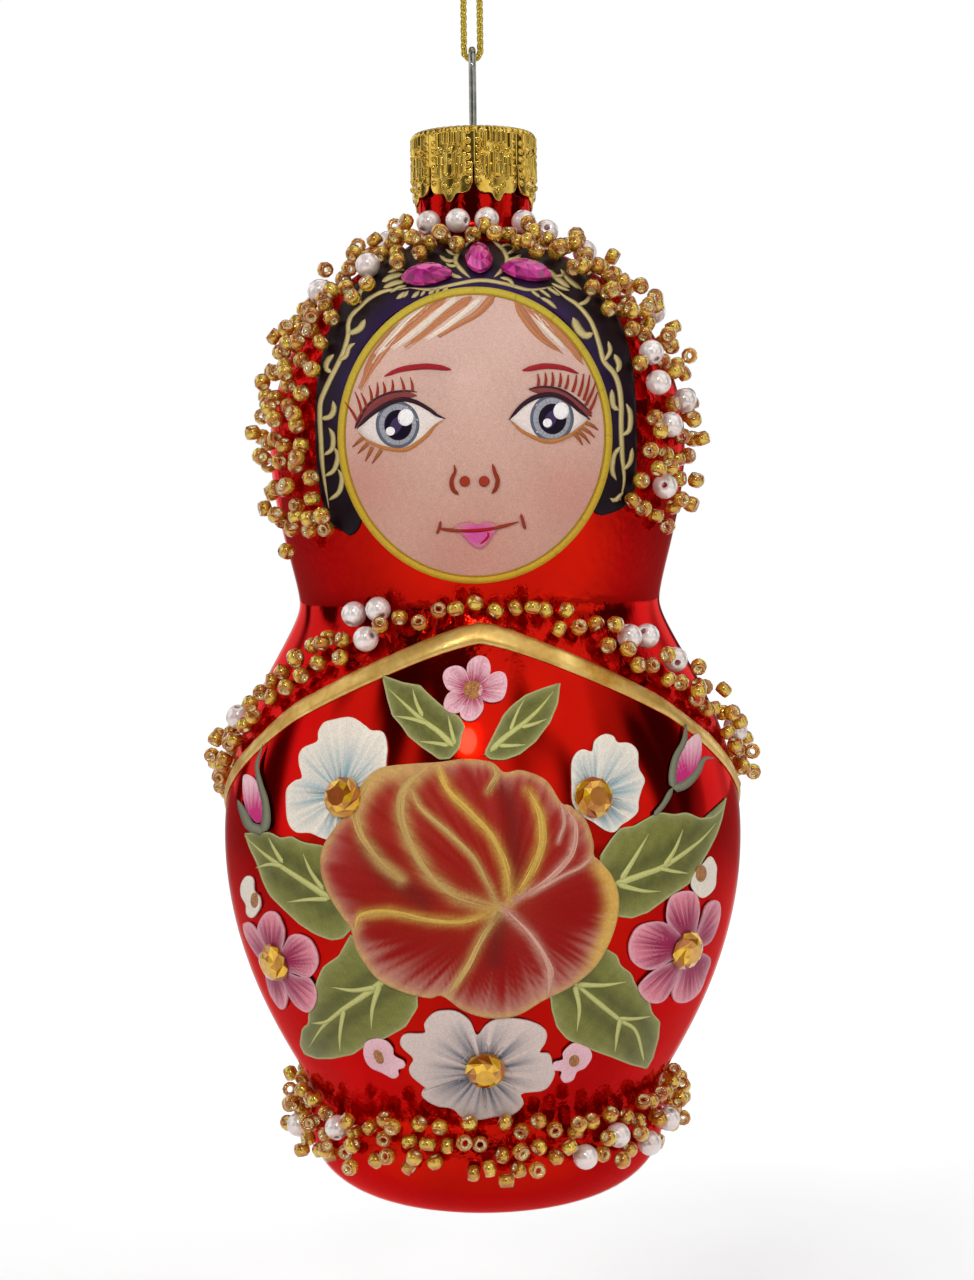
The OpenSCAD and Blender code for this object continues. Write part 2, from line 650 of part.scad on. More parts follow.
// The base ring goes all round, over the groove
base_pearl_places = [
    [-78, -2.4], [-49, 0], [29, -2.4], [41, -0.8], [55, -2.8], [69, -1.4],
    [-104, -0.5], [-131, -2], [-160, 0.6], [98, -2], [122, 0.4], [149, -1.6], [176, -0.4]
];
function base_pearl_list() = [
    for (i = [0:len(base_pearl_places) - 1])
        let (p = base_pearl_places[i]) pearl_over(p[0], base_ring_z + p[1], 0, i * 40)
];
base_drops = 2800;
function base_bead_list() =
    let (
        d = draws(base_drops, 37),
        drops = [
            for (i = [0:base_drops - 1])
                bead_over(
                    360 * d[i][0] - 180, base_ring_z + base_half_w * (2 * d[i][1] - 1),
                    drop_lift(i, base_drops), 360 * d[i][2], drop_tilt(d[i][3])
                )
        ],
        kept = base_pearl_list(),
        lying = settle(drops, kept)
    )
    [for (i = [len(kept):1:len(lying) - 1]) lying[i]];
module base_beads() { gold_beads(base_bead_list()); }
module base_pearls() { pearls(base_pearl_list()); }

glass_doll();
cap_crown();
hanger_wire();
hang_cord();
cord_knot();
shawl_trim();
face_disc();
headband();
headband_stone_left();
headband_stone_middle();
headband_stone_right();
rose();
leaf_top_left();
leaf_top_right();
leaf_mid_left();
leaf_mid_right();
leaf_low_left();
leaf_low_right();
white_flower_left();
white_flower_right();
white_flower_low();
pink_flower_left();
pink_flower_right();
pink_flower_top();
pink_sprig_left();
pink_sprig_right();
white_sprig_left();
white_sprig_right();
bud_left();
bud_right();
amber_stone_left();
amber_stone_right();
amber_stone_side_left();
amber_stone_side_right();
amber_stone_low();
hood_beads();
hood_pearls();
shoulder_beads();
shoulder_pearls();
base_beads();
base_pearls();
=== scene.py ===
import math
import bpy
import bmesh
import numpy as np
from mathutils import Matrix, Vector


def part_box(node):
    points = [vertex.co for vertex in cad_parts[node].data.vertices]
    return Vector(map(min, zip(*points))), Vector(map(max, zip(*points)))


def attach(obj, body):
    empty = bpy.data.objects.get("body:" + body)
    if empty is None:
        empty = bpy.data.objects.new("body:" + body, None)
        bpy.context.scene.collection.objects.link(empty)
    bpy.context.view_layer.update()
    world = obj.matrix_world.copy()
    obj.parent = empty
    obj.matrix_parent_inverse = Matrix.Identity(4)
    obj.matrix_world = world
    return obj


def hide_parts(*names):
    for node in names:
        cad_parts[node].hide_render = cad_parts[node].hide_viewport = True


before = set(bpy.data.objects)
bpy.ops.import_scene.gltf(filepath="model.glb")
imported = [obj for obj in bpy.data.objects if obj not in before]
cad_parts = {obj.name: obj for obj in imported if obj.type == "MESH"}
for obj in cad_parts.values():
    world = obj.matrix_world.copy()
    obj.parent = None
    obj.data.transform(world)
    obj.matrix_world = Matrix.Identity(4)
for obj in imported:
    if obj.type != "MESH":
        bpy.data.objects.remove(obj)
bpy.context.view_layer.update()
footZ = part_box("glass_doll")[0][2]    # the flat of the foot, in metres
millimetre = 0.001


def floats(values):
    return np.asarray(values, dtype=float)


def lengths(vectors):
    return np.linalg.norm(vectors, axis=1)


# Lengths below are millimetres above the foot. This turns them into the frame's metres.
def toFrame(points):
    return floats(points) * millimetre + np.array([0, 0, footZ])


def toLinear(colour):
    c = floats(colour) / 255
    return np.where(c <= 0.04045, c / 12.92, ((c + 0.055) / 1.055) ** 2.4)


def inks(colours):
    return {name: toLinear(colour) for name, colour in colours.items()}


def shade(red, green, blue):
    return tuple(float(v) for v in toLinear((red, green, blue))) + (1.0,)


def unit(value):
    return np.clip(value, 0, 1)


def rise(value, start, over):
    return unit((value - start) / over)


def softSpot(gap, reach):
    return np.exp(-(gap / reach) ** 2)


def blendTo(colours, other, amount):
    amount = unit(floats(amount))[..., None]
    return colours * (1 - amount) + floats(other) * amount


# camera: the photograph is 974 wide and 1280 high
photo = {
    "width": 974,
    "height": 1280,
    "focalPixels": 2250,
    "eye": (0.849, -281.0, 84.0),
    "pitch": math.atan(125 / 2250),
    "roll": math.radians(0.78),
    "sensor": 36,
    "glassDepths": (244, 292),
}
forward = np.array([0, math.cos(photo["pitch"]), -math.sin(photo["pitch"])])
levelUp = np.array([0, math.sin(photo["pitch"]), math.cos(photo["pitch"])])
levelRight = np.array([1.0, 0, 0])
cameraRight = math.cos(photo["roll"]) * levelRight - math.sin(photo["roll"]) * levelUp
cameraUp = math.sin(photo["roll"]) * levelRight + math.cos(photo["roll"]) * levelUp
cameraEye = np.array(photo["eye"])


def putInScene(name, data):
    item = bpy.data.objects.new(name, data)
    bpy.context.scene.collection.objects.link(item)
    return item


def makeCamera():
    data = bpy.data.cameras.new("photoCamera")
    data.sensor_fit = "AUTO"
    data.sensor_width = photo["sensor"]
    data.lens = photo["focalPixels"] / photo["height"] * photo["sensor"]
    data.clip_start = 0.01
    cam = putInScene("photoCamera", data)
    place = Matrix.Identity(4)
    for row in range(3):
        place[row][0] = cameraRight[row]
        place[row][1] = cameraUp[row]
        place[row][2] = -forward[row]
        place[row][3] = toFrame(cameraEye)[row]
    cam.matrix_world = place
    bpy.context.scene.camera = cam


makeCamera()
print("camera set")


# meshes
def addPiece(name, points, faces, paint=None, smooth=True):
    mesh = bpy.data.meshes.new(name)
    mesh.from_pydata(np.asarray(points).tolist(), [], faces)
    if paint is not None:
        layer = mesh.attributes.new("paint", "FLOAT_COLOR", "POINT")
        full = np.ones((len(points), 4))
        full[:, :3] = paint
        layer.data.foreach_set("color", full.ravel())
    mesh.polygons.foreach_set("use_smooth", [smooth] * len(mesh.polygons))
    mesh.update()
    return putInScene(name, mesh)


def finishPiece(piece, body, slot, material, *nodes):
    piece.data.materials.clear()
    piece.data.materials.append(material)
    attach(piece, body)
    if nodes:
        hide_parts(*nodes)


def gridFaces(rows, columns, closedAcross=False, start=0, closedAlong=False):
    faces = []
    for i in range(rows if closedAlong else rows - 1):
        a, b = start + i * columns, start + (i + 1) % rows * columns
        for j in range(columns if closedAcross else columns - 1):
            k = (j + 1) % columns
            faces.append((a + j, a + k, b + k, b + j))
    return faces


def faceOut(piece, weld=False):
    work = bmesh.new()
    work.from_mesh(piece.data)
    if weld:
        bmesh.ops.remove_doubles(work, verts=work.verts, dist=2e-6)
    bmesh.ops.recalc_face_normals(work, faces=work.faces)
    work.to_mesh(piece.data)
    work.free()
    piece.data.update()


# Points round the hanging axis, turned from the front
def around(radius, turn, height):
    x, y = radius * np.sin(turn), -radius * np.cos(turn)
    return np.stack([x, y, np.broadcast_to(height, x.shape)], axis=-1)


# A tube of rings along a path, closed at both ends
def tubeMesh(path, radius, sides=8):
    path = floats(path)
    along = headings(path)
    side = np.zeros_like(path)
    guess = np.array([0, 1.0, 0])
    if abs(along[0] @ guess) > 0.9:
        guess = np.array([1.0, 0, 0])
    for i in range(len(path)):
        guess = guess - (guess @ along[i]) * along[i]
        guess /= np.linalg.norm(guess)
        side[i] = guess
    other = np.cross(along, side)
    turn = np.arange(sides) * 2 * math.pi / sides
    radius = np.broadcast_to(floats(radius), (len(path),))
    rings = path[:, None, :] + radius[:, None, None] * (
        np.cos(turn)[None, :, None] * side[:, None, :] + np.sin(turn)[None, :, None] * other[:, None, :]
    )
    points = np.concatenate([rings.reshape(-1, 3), path[:1], path[-1:]])
    faces = gridFaces(len(path), sides, True)
    first = len(points) - 2
    base = (len(path) - 1) * sides
    for j in range(sides):
        k = (j + 1) % sides
        faces.append((first, k, j))
        faces.append((first + 1, base + j, base + k))
    return points, faces


def joinMeshes(parts):
    points = []
    faces = []
    start = 0
    for p, f in parts:
        points.append(p)
        faces += [tuple(v + start for v in face) for face in f]
        start += len(p)
    return np.concatenate(points), faces


def headings(path):
    along = np.gradient(path, axis=0)
    return along / np.maximum(lengths(along), 1e-9)[:, None]


def runAlong(path):
    return np.concatenate([[0], np.cumsum(lengths(np.diff(path, axis=0)))])


def pointsAt(at, run, line):
    return np.stack([np.interp(at, run, column) for column in line.T], axis=1)


def smoothLine(points, count):
    points = floats(points)
    if len(points) == 2:
        t = np.linspace(0, 1, count)[:, None]
        return points[0] * (1 - t) + points[1] * t
    ends = np.concatenate([[2 * points[0] - points[1]], points, [2 * points[-1] - points[-2]]])
    at = np.linspace(0, len(points) - 1.000001, count)
    i = at.astype(int)
    t = (at - i)[:, None]
    a, b, c, d = ends[i], ends[i + 1], ends[i + 2], ends[i + 3]
    square, cube = 2 * a - 5 * b + 4 * c - d, 3 * b - a - 3 * c + d
    return 0.5 * (2 * b + (c - a) * t + square * t ** 2 + cube * t ** 3)


def evenLine(points, step):
    fine = smoothLine(points, 40 * len(points))
    run = runAlong(fine)
    at = np.linspace(0, run[-1], max(4, int(run[-1] / step) + 1))
    return pointsAt(at, run, fine)


# materials
def newMaterial(name, sockets):
    material = bpy.data.materials.new(name)
    material.use_nodes = True
    shader = material.node_tree.nodes["Principled BSDF"]
    for key, value in sockets.items():
        shader.inputs[key].default_value = value
    return material, material.node_tree, shader


def addNode(tree, kind, **values):
    node = tree.nodes.new(kind)
    for key, value in values.items():
        if hasattr(node, key):
            setattr(node, key, value)
        else:
            node.inputs[key].default_value = value
    return node


def link(tree, source, output, target, entry):
    tree.links.new(source.outputs[output], target.inputs[entry])


def feed(tree, entry, value):                 # a link from another node, or a plain number or colour
    if isinstance(value, bpy.types.NodeSocket):
        tree.links.new(value, entry)
    else:
        entry.default_value = value


def maths(tree, operation, *values):
    node = addNode(tree, "ShaderNodeMath", operation=operation)
    for entry, value in zip(node.inputs, values):
        feed(tree, entry, value)
    return node.outputs["Value"]


def mixTones(tree, factor, first, second, blend="MIX"):
    node = addNode(tree, "ShaderNodeMix", data_type="RGBA", blend_type=blend)
    for name, value in (("Factor", factor), ("A", first), ("B", second)):
        feed(tree, node.inputs[name], value)
    return node.outputs["Result"]


def addNoise(tree, scale, detail=3.0, rough=0.5):
    where = addNode(tree, "ShaderNodeTexCoord")
    noise = addNode(tree, "ShaderNodeTexNoise", Scale=scale, Detail=detail, Roughness=rough)
    link(tree, where, "Object", noise, "Vector")
    return noise.outputs["Fac"]


def addRamp(tree, source, low, high, start=0.3, end=0.7):
    ramp = addNode(tree, "ShaderNodeValToRGB")
    ramp.color_ramp.elements[0].position = start
    ramp.color_ramp.elements[1].position = end
    ramp.color_ramp.elements[0].color = low
    ramp.color_ramp.elements[1].color = high
    tree.links.new(source, ramp.inputs["Fac"])
    return ramp.outputs["Color"]


def readMark(tree, name, output="Fac"):
    return addNode(tree, "ShaderNodeAttribute", attribute_name=name).outputs[output]


def rampTo(tree, noise, shader, entry, *stops):
    feed(tree, shader.inputs[entry], addRamp(tree, noise, *stops))


def addBump(tree, shader, source, strength, distance):
    bump = addNode(tree, "ShaderNodeBump", Strength=strength, Distance=distance)
    tree.links.new(source, bump.inputs["Height"])
    link(tree, bump, "Normal", shader, "Normal")
    return bump


def grey(value):
    return (value, value, value, 1)


# hanging cord: three plaited strands, from the knot under the wire's eye and back to the knot
cordSizes = {
    "diameter": 0.85,
    "plaitLength": 2.85,
    "strandRadius": 0.205,
    "sway": 0.215,
    "depth": 0.13,
    "halfRoute": [
        (0.6, 1.1), (1.2, 0.4), (1.8, -0.8), (2.1, -2.5), (2.1, -5), (2, -8), (1.8, -11), (1.6, -14),
        (1.4, -17), (1.2, -20), (1.1, -23), (1, -26), (1, -29), (1, -31.5), (1, -33.4), (0.9, -34),
        (0.5, -34.4),
    ],
    "lowest": (0, -34.5),
    "knotHeight": 1.8,
    "knotScale": 0.4,
    "tailLength": 4.5,
    "tailLean": math.radians(22),
    "tailBow": 0.35,
    "tailForward": 0.12,
    "tailFray": 0.8,
    "frayLength": 1.4,
    "strands": 3,
}


def cordMaterial():
    material, tree, shader = newMaterial("goldThread", {"Metallic": 1.0, "Roughness": 0.24})
    noise = addNoise(tree, 9000, 2)
    rampTo(tree, noise, shader, "Base Color", shade(176, 142, 32), shade(250, 228, 112))
    addBump(tree, shader, noise, 0.5, 0.00004)
    return material


goldThread = cordMaterial()


def plaitMesh(path, across, fray=0.0):
    c = cordSizes
    run = runAlong(path)
    along = headings(path)
    side = np.cross(along, across)
    side /= lengths(side)[:, None]
    other = np.cross(side, along)
    last = c["frayLength"]
    loose = 1 + fray * unit((run - run[-1] + last) / last) ** 2
    parts = []
    for k in range(c["strands"]):
        phase = 2 * math.pi * (run / c["plaitLength"] + k / c["strands"])
        sway = c["sway"] * np.sin(phase) * loose
        depth = c["depth"] * np.sin(2 * phase) * loose
        strand = path + sway[:, None] * side + depth[:, None] * other
        parts.append(tubeMesh(strand, c["strandRadius"], 7))
    return joinMeshes(parts)


def makeCord():
    c = cordSizes
    half = [(x, 0, z) for x, z in c["halfRoute"]]
    low = (c["lowest"][0], 0, c["lowest"][1])
    route = [(-x, y, z) for x, y, z in half] + [low] + half[::-1]
    path = evenLine(route, 0.16)
    points, faces = plaitMesh(path, np.array([0, 1.0, 0]))
    cord = addPiece("hangingCord", points * millimetre, faces)
    finishPiece(cord, "cord", "gold_cord", goldThread, "hang_cord")
    follow = path[::4] * millimetre
    follow = np.concatenate([follow, path[-1:] * millimetre])

    turn = np.linspace(0, 2 * math.pi, 150)
    loops = np.stack([
        np.sin(turn) + 2 * np.sin(2 * turn), -1.2 * np.sin(3 * turn), np.cos(turn) - 2 * np.cos(2 * turn)
    ], axis=1) * c["knotScale"] + np.array([0, 0, c["knotHeight"]])
    parts = [plaitMesh(loops, np.array([0.05, 1.0, 0.02]))]
    for lean in (-c["tailLean"], c["tailLean"]):
        up = np.linspace(0, c["tailLength"], 50)
        bow = c["tailBow"] * np.sin(up / c["tailLength"] * math.pi) * np.sign(lean)
        height = c["knotHeight"] + math.cos(lean) * up
        tail = np.stack([math.sin(lean) * up - bow, c["tailForward"] * up, height], axis=1)
        parts.append(plaitMesh(tail, np.array([0, 1.0, 0]), c["tailFray"]))
    points, faces = joinMeshes(parts)
    knot = addPiece("cordKnot", points * millimetre, faces)
    finishPiece(knot, "cord", "gold_cord", goldThread, "cord_knot")


makeCord()


# sprung wire hanger
wireSizes = {
    "diameter": 0.9,
    "eyeRadius": 2.7,
    "arcHeight": 138.48,
    "bendHeight": 130.33,
    "tipSpread": 5.2,
    "tipHeight": 116.33,
    "legBends": [(0, 4.0, 123.0), (0, 3.1, 127.8), (0, 2.75, 129.8)],
    "bendRound": 0.8,
    "straight": 134.5,
    "tipThin": 0.6,
}


def wireMaterial():
    material, tree, shader = newMaterial("drawnSteel", {"Metallic": 1.0})
    noise = addNoise(tree, 900, 4)
    rampTo(tree, noise, shader, "Base Color", shade(140, 140, 130), shade(192, 190, 180))
    rampTo(tree, noise, shader, "Roughness", grey(0.1), grey(0.2))
    addBump(tree, shader, noise, 0.04, 0.00005)
    return material


def makeWire():
    w = wireSizes
    eye = w["eyeRadius"]
    half = [(0, w["tipSpread"], w["tipHeight"])] + w["legBends"]
    half += [(0, eye, w["bendHeight"] + w["bendRound"]), (0, eye, w["straight"])]
    turn = np.linspace(0, math.pi, 15)
    arc = [(0, eye * math.cos(a), w["arcHeight"] + eye * math.sin(a)) for a in turn]
    path = evenLine(half + arc + [(x, -y, z) for x, y, z in half[::-1]], 0.3)
    radius = np.full(len(path), w["diameter"] / 2)
    radius[[0, -1]] *= w["tipThin"]
    points, faces = tubeMesh(path, radius, 16)
    wire = addPiece("hangerWire", toFrame(points), faces)
    finishPiece(wire, "hanger", "wire_steel", wireMaterial(), "hanger_wire")


makeWire()
print("wire bent")


# stamped cap: eight petals parted by slits, with pressed dots and bars
capSizes = {
    "radius": 7.6,
    "top": 130.93,
    "tip": 121.73,
    "petals": 8,
    "slitLength": 4.6,
    "slitHalf": 0.14,
    "wall": 0.3,
    "edge": 0.8,
    "columns": 48,
    "rows": 72,
    "rise": 0.36,
    "flare": 0.25,
    "flutes": 6,
    "fluteDepth": 0.16,
    "edgeDots": {"count": 6, "across": 2.33, "low": 2.5, "pitch": 0.95, "reach": 0.27},
    "bars": [
        (0.62, 3.6, 5.9), (1.22, 2.9, 5.4), (0.35, 7.1, 8.8), (1.0, 7.3, 8.9), (1.7, 6.6, 8.8),
        (1.75, 3.4, 5.6),
    ],
    "barReach": 0.2,
    "cup": {"height": 3.6, "radius": 0.62, "reach": 0.18},
    "dots": [
        (0, 6.35, 0.3), (0, 4.9, 0.2), (0.75, 2.05, 0.26), (0, 1.35, 0.3), (1.3, 6.3, 0.22),
        (2.33, 8.5, 0.25),
    ],
    "petalHem": [                             # gap from the slit, and height over the petal's tip
        (0.0, 2.3), (0.14, 2.05), (0.3, 1.6), (0.6, 1.25), (1.2, 1.05), (1.9, 1.08), (2.2, 1.0),
        (2.42, 0.62), (2.62, 0.3), (2.82, 0.08),
    ],
    "topRings": [(0.0, 0.0), (-0.05, 1.6), (-0.12, 3.4), (-0.02, 4.6), (0.0, 5.6), (0.04, 6.3)],
}


def pressed(gap, reach):
    return np.sqrt(unit(1 - (gap / reach) ** 2))


def capRelief(across, up):
    c = capSizes
    relief = np.zeros_like(across)
    a = np.abs(across)
    d, cup = c["edgeDots"], c["cup"]
    for k in range(d["count"]):               # a column of dots by each edge
        gap = np.hypot(a - d["across"], up - d["low"] - d["pitch"] * k)
        relief = np.maximum(relief, pressed(gap, d["reach"]))
    for place, low, high in c["bars"]:
        gap = np.hypot(a - place, up - np.clip(up, low, high))
        relief = np.maximum(relief, pressed(gap, c["barReach"]))
    gap = np.abs(np.hypot(across, (up - cup["height"]) * 1.2) - cup["radius"])
    relief = np.maximum(relief, np.where(up < cup["height"], pressed(gap, cup["reach"]), 0))
    for place, height, reach in c["dots"]:
        relief = np.maximum(relief, pressed(np.hypot(a - place, (up - height) * 0.8), reach))
    return relief


def capMaterial():
    material, tree, shader = newMaterial("stampedGold", {"Metallic": 1.0})
    noise = addNoise(tree, 700, 5, 0.6)
    rampTo(tree, noise, shader, "Base Color", shade(206, 160, 54), shade(250, 214, 106))
    rampTo(tree, noise, shader, "Roughness", grey(0.1), grey(0.2))
    addBump(tree, shader, addNoise(tree, 2600, 2), 0.08, 0.00006)
    return material


def makeCap():
    c = capSizes
    columns, rows = c["columns"], c["rows"]
    radius = c["radius"]
    halfArc = radius * math.pi / c["petals"]
    height = c["top"] - c["tip"]
    fromSlit, petalHem = np.array(c["petalHem"] + [(halfArc, 0.0)]).T
    share = np.linspace(-1, 1, columns)
    low = np.interp((1 - np.abs(share)) * halfArc, fromSlit, petalHem)
    sideTop = height - c["edge"]
    down = np.linspace(0, 1, rows)[:, None]
    up = sideTop - down * (sideTop - low[None, :])
    slit = c["slitLength"]
    gap = c["slitHalf"] * rise(up, slit, -0.5) ** 0.5
    across = share[None, :] * (halfArc - gap)
    bend = np.linspace(math.pi / 2, 0, 9)[:-1]
    parts = []
    for k in range(c["petals"]):
        middle = (k + 0.5) * 2 * math.pi / c["petals"]
        out = radius + c["rise"] * (capRelief(across, up) - 0.25)
        out = out + c["flare"] * rise(up, slit, -slit) ** 2
        out = np.where(np.abs(share)[None, :] == 1, np.where(gap > 0, out, radius - 0.06), out)
        angle = middle + across / radius
        side = around(out, angle, c["tip"] + up)
        ring = []
        a = middle + share * math.pi / c["petals"]
        for level, r in c["topRings"]:
            ring.append(around(r, a, c["top"] + level - 0.05))
        for b in bend:
            flute = c["fluteDepth"] * np.cos(share * math.pi * c["flutes"]) * math.cos(b / 1.2)
            r = radius - c["edge"] * (1 - math.cos(b)) + flute * (0.25 + 0.75 * math.cos(b)) * 0.8
            z = c["top"] - c["edge"] * (1 - math.sin(b)) + flute * 0.5 * math.sin(b)
            ring.append(around(r, a, z))
        sheet = np.concatenate([np.array(ring), side])
        parts.append((sheet.reshape(-1, 3), gridFaces(len(sheet), columns)))
    points, faces = joinMeshes(parts)
    cap = addPiece("stampedCap", toFrame(points), faces)
    faceOut(cap, True)
    solid = cap.modifiers.new("wall", "SOLIDIFY")
    solid.thickness = c["wall"] * millimetre
    solid.offset = -1
    cap.data = bpy.data.meshes.new_from_object(cap.evaluated_get(bpy.context.evaluated_depsgraph_get()))
    cap.modifiers.clear()
    cap.data.polygons.foreach_set("use_smooth", [True] * len(cap.data.polygons))
    finishPiece(cap, "cap", "cap_gold", capMaterial(), "cap_crown")


makeCap()
print("cap stamped")


# blown glass: the outline as radius and height, and the places over it
glassSizes = {
    "footRadius": 22.2,
    "footRoundWide": 10,
    "footRoundHigh": 8,
    "groove": (21.9, 12.5),
    "belly": (32.2, 44.5),
    "waist": (22.4, 73.3),
    "head": (25.7, 92.5),
    "domeRise": 25.8,
    "crownRadius": 9.6,
    "neckRadius": 6.9,
    "neckFillet": 3.2,
    "neckLength": 11,
    "wall": 0.9,
    "segments": 200,
    "handles": {"groove": (2, 2), "belly": (2.5, 18), "waist": (15, 4), "head": (3, 8)},
    "crownHandle": (-1.7, 0.7),
    "neckHandle": 1.2,
}
glueBands = {                                 # clear glue round the beads: middle and half width
    "strength": 0.4,
    "base": (11, 5.5),
    "shoulder": (6, 4.0),
    "hood": (22, 4.5),
    "hoodMiddle": 95,
    "hoodSquash": (22, 22.5),
    "hoodBack": 4,
}


def bezierLine(a, b, c, d, count):
    t = np.linspace(0, 1, count + 1)[1:, None]
    s = 1 - t
    a, b, c, d = (np.array(p) for p in (a, b, c, d))
    return s ** 3 * a + 3 * s * s * t * b + 3 * s * t * t * c + t ** 3 * d


def stretchLine(low, high, lowHandle, highHandle, count):
    return bezierLine(low, (low[0], low[1] + lowHandle), (high[0], high[1] - highHandle), high, count)


def glassOutline():
    g = glassSizes
    flat = g["footRadius"] - g["footRoundWide"]
    turn = np.radians(np.linspace(-90, 0, 15))
    footOut = flat + g["footRoundWide"] * np.cos(turn)
    foot = np.stack([footOut, g["footRoundHigh"] * (1 + np.sin(turn))], axis=1)
    headR, headZ = g["head"]
    domeEnd = math.acos(g["crownRadius"] / headR)
    turn = np.linspace(0, domeEnd, 41)[1:]
    dome = np.stack([headR * np.cos(turn), headZ + g["domeRise"] * np.sin(turn)], axis=1)
    crown = dome[-1]
    neckZ = crown[1] + g["neckFillet"]
    neckR = g["neckRadius"]
    crownAim, neckAim = crown + np.array(g["crownHandle"]), (neckR, neckZ - g["neckHandle"])
    neck = bezierLine(crown, crownAim, neckAim, (neckR, neckZ), 10)
    straight = np.array([(neckR, neckZ + g["neckLength"] * s) for s in np.linspace(0, 1, 9)[1:]])
    return np.concatenate([
        foot,
        stretchLine((g["footRadius"], g["footRoundHigh"]), g["groove"], *g["handles"]["groove"], 10),
        stretchLine(g["groove"], g["belly"], *g["handles"]["belly"], 40),
        stretchLine(g["belly"], g["waist"], *g["handles"]["waist"], 36),
        stretchLine(g["waist"], g["head"], *g["handles"]["head"], 26),
        dome, neck, straight,
    ])


outline = glassOutline()


def radiusAt(height):
    return np.interp(height, outline[:, 1], outline[:, 0])


def slopeAt(height):
    return (radiusAt(height + 0.3) - radiusAt(height - 0.3)) / 0.6


def liftOff(points, lift):
    across = np.hypot(points[:, 0], points[:, 1])
    out = np.stack([points[:, 0] / across, points[:, 1] / across, -slopeAt(points[:, 2])], axis=1)
    out /= lengths(out)[:, None]
    return points + np.asarray(lift).reshape(-1, 1) * out


def overGlass(turn, height, lift):
    turn = np.radians(floats(turn))
    height = floats(height)
    return liftOff(around(radiusAt(height), turn, height), lift)


# Where the line of sight through a photograph pixel meets the glass
def castToGlass(pixels, lift):
    pixels = floats(pixels)
    x = (pixels[:, :1] - photo["width"] / 2) / photo["focalPixels"]
    y = (photo["height"] / 2 - pixels[:, 1:2]) / photo["focalPixels"]
    ray = forward + x * cameraRight + y * cameraUp

    def outside(depth):
        p = cameraEye + depth[:, None] * ray
        return np.hypot(p[:, 0], p[:, 1]) - radiusAt(p[:, 2])

    depths = np.linspace(*photo["glassDepths"], 49)
    gaps = np.stack([outside(np.full(len(pixels), d)) for d in depths], axis=1)
    inside = gaps < 0
    hit = inside.any(axis=1)
    first = np.where(hit, inside.argmax(axis=1), gaps.argmin(axis=1))
    far = depths[first]
    near = np.where(hit, depths[np.maximum(first - 1, 0)], far)
    for _ in range(26):
        half = (near + far) / 2
        inner = outside(half) < 0
        far = np.where(inner, half, far)
        near = np.where(inner, near, half)
    points = cameraEye + far[:, None] * ray
    onGlass = radiusAt(points[:, 2]) / np.hypot(points[:, 0], points[:, 1])
    points[:, :2] *= onGlass[:, None]
    return liftOff(points, lift)


def glueMask(points):
    b = glueBands

    def band(gap, name):
        return softSpot(gap - b[name][0], b[name][1])

    heights = points[:, 2]
    wide, high = b["hoodSquash"]
    front = np.hypot(points[:, 0], (heights - b["hoodMiddle"]) * wide / high)
    hood = band(front, "hood") * (points[:, 1] < b["hoodBack"])
    hem = np.array([hemHeight(a) for a in np.degrees(np.arctan2(points[:, 0], -points[:, 1]))])
    bands = np.maximum(np.maximum(band(heights, "base"), hood), band(heights - hem, "shoulder"))
    return b["strength"] * bands


def glassMaterial():
    material, tree, shader = newMaterial("redMirrorGlass", {
        "Metallic": 1.0, "Specular Tint": shade(255, 70, 50), "Coat Weight": 0.1, "Coat Roughness": 0.03,
        "Coat IOR": 1.42,
    })
    cloud = addNoise(tree, 45, 4, 0.6)
    rampTo(tree, cloud, shader, "Base Color", shade(176, 6, 0), shade(212, 20, 0))
    rampTo(tree, cloud, shader, "Roughness", grey(0.09), grey(0.16))
    lumps = addNoise(tree, 1100, 2, 0.5)
    where = readMark(tree, "paint")
    glue = maths(tree, "MULTIPLY", lumps, where)
    waves = addNoise(tree, 38, 1, 0.4)
    relief = maths(tree, "ADD", glue, waves)
    bump = addBump(tree, shader, relief, 0.35, 0.0008)
    link(tree, bump, "Normal", shader, "Coat Normal")
    return material


def makeGlass():
    g = glassSizes
    tangent = np.gradient(outline, axis=0)
    out = np.stack([tangent[:, 1], -tangent[:, 0]], axis=1)
    out /= lengths(out)[:, None]
    out[-1] = (1, 0)
    inner = outline - g["wall"] * out
    inner[-1] = (g["neckRadius"] - g["wall"], outline[-1][1])
    inner[0] = (outline[0][0], g["wall"])
    flat = outline[0][0]
    lowRings = [(flat * s, 0) for s in (0.02, 0.35, 0.7)]
    highRings = [(flat * s, g["wall"]) for s in (0.7, 0.35, 0.02)]
    section = np.concatenate([lowRings, outline, inner[::-1], highRings])
    turn = np.arange(g["segments"]) * 2 * math.pi / g["segments"]
    points = around(section[:, :1], turn, section[:, 1:]).reshape(-1, 3)
    faces = gridFaces(len(section), g["segments"], True)
    last = (len(section) - 1) * g["segments"]
    faces.append(tuple(range(g["segments"] - 1, -1, -1)))
    faces.append(tuple(last + j for j in range(g["segments"])))
    glue = np.repeat(glueMask(points)[:, None], 3, axis=1)
    glass = addPiece("blownGlass", toFrame(points), faces, glue)
    finishPiece(glass, "doll", "red_glass", glassMaterial(), "glass_doll")


# gold edge of the shawl: its height follows the turn from the front
hemSizes = {
    "middle": 50.575,
    "swing": 15.65,
    "double": 3.075,
    "dip": 1.1,
    "dipTurn": 50,
    "width": 2.4,
    "lift": 0.1,
    "thick": 0.4,
    "steps": 300,
    "columns": 9,
    "wobble": 0.35,
    "root": 0.08,
}


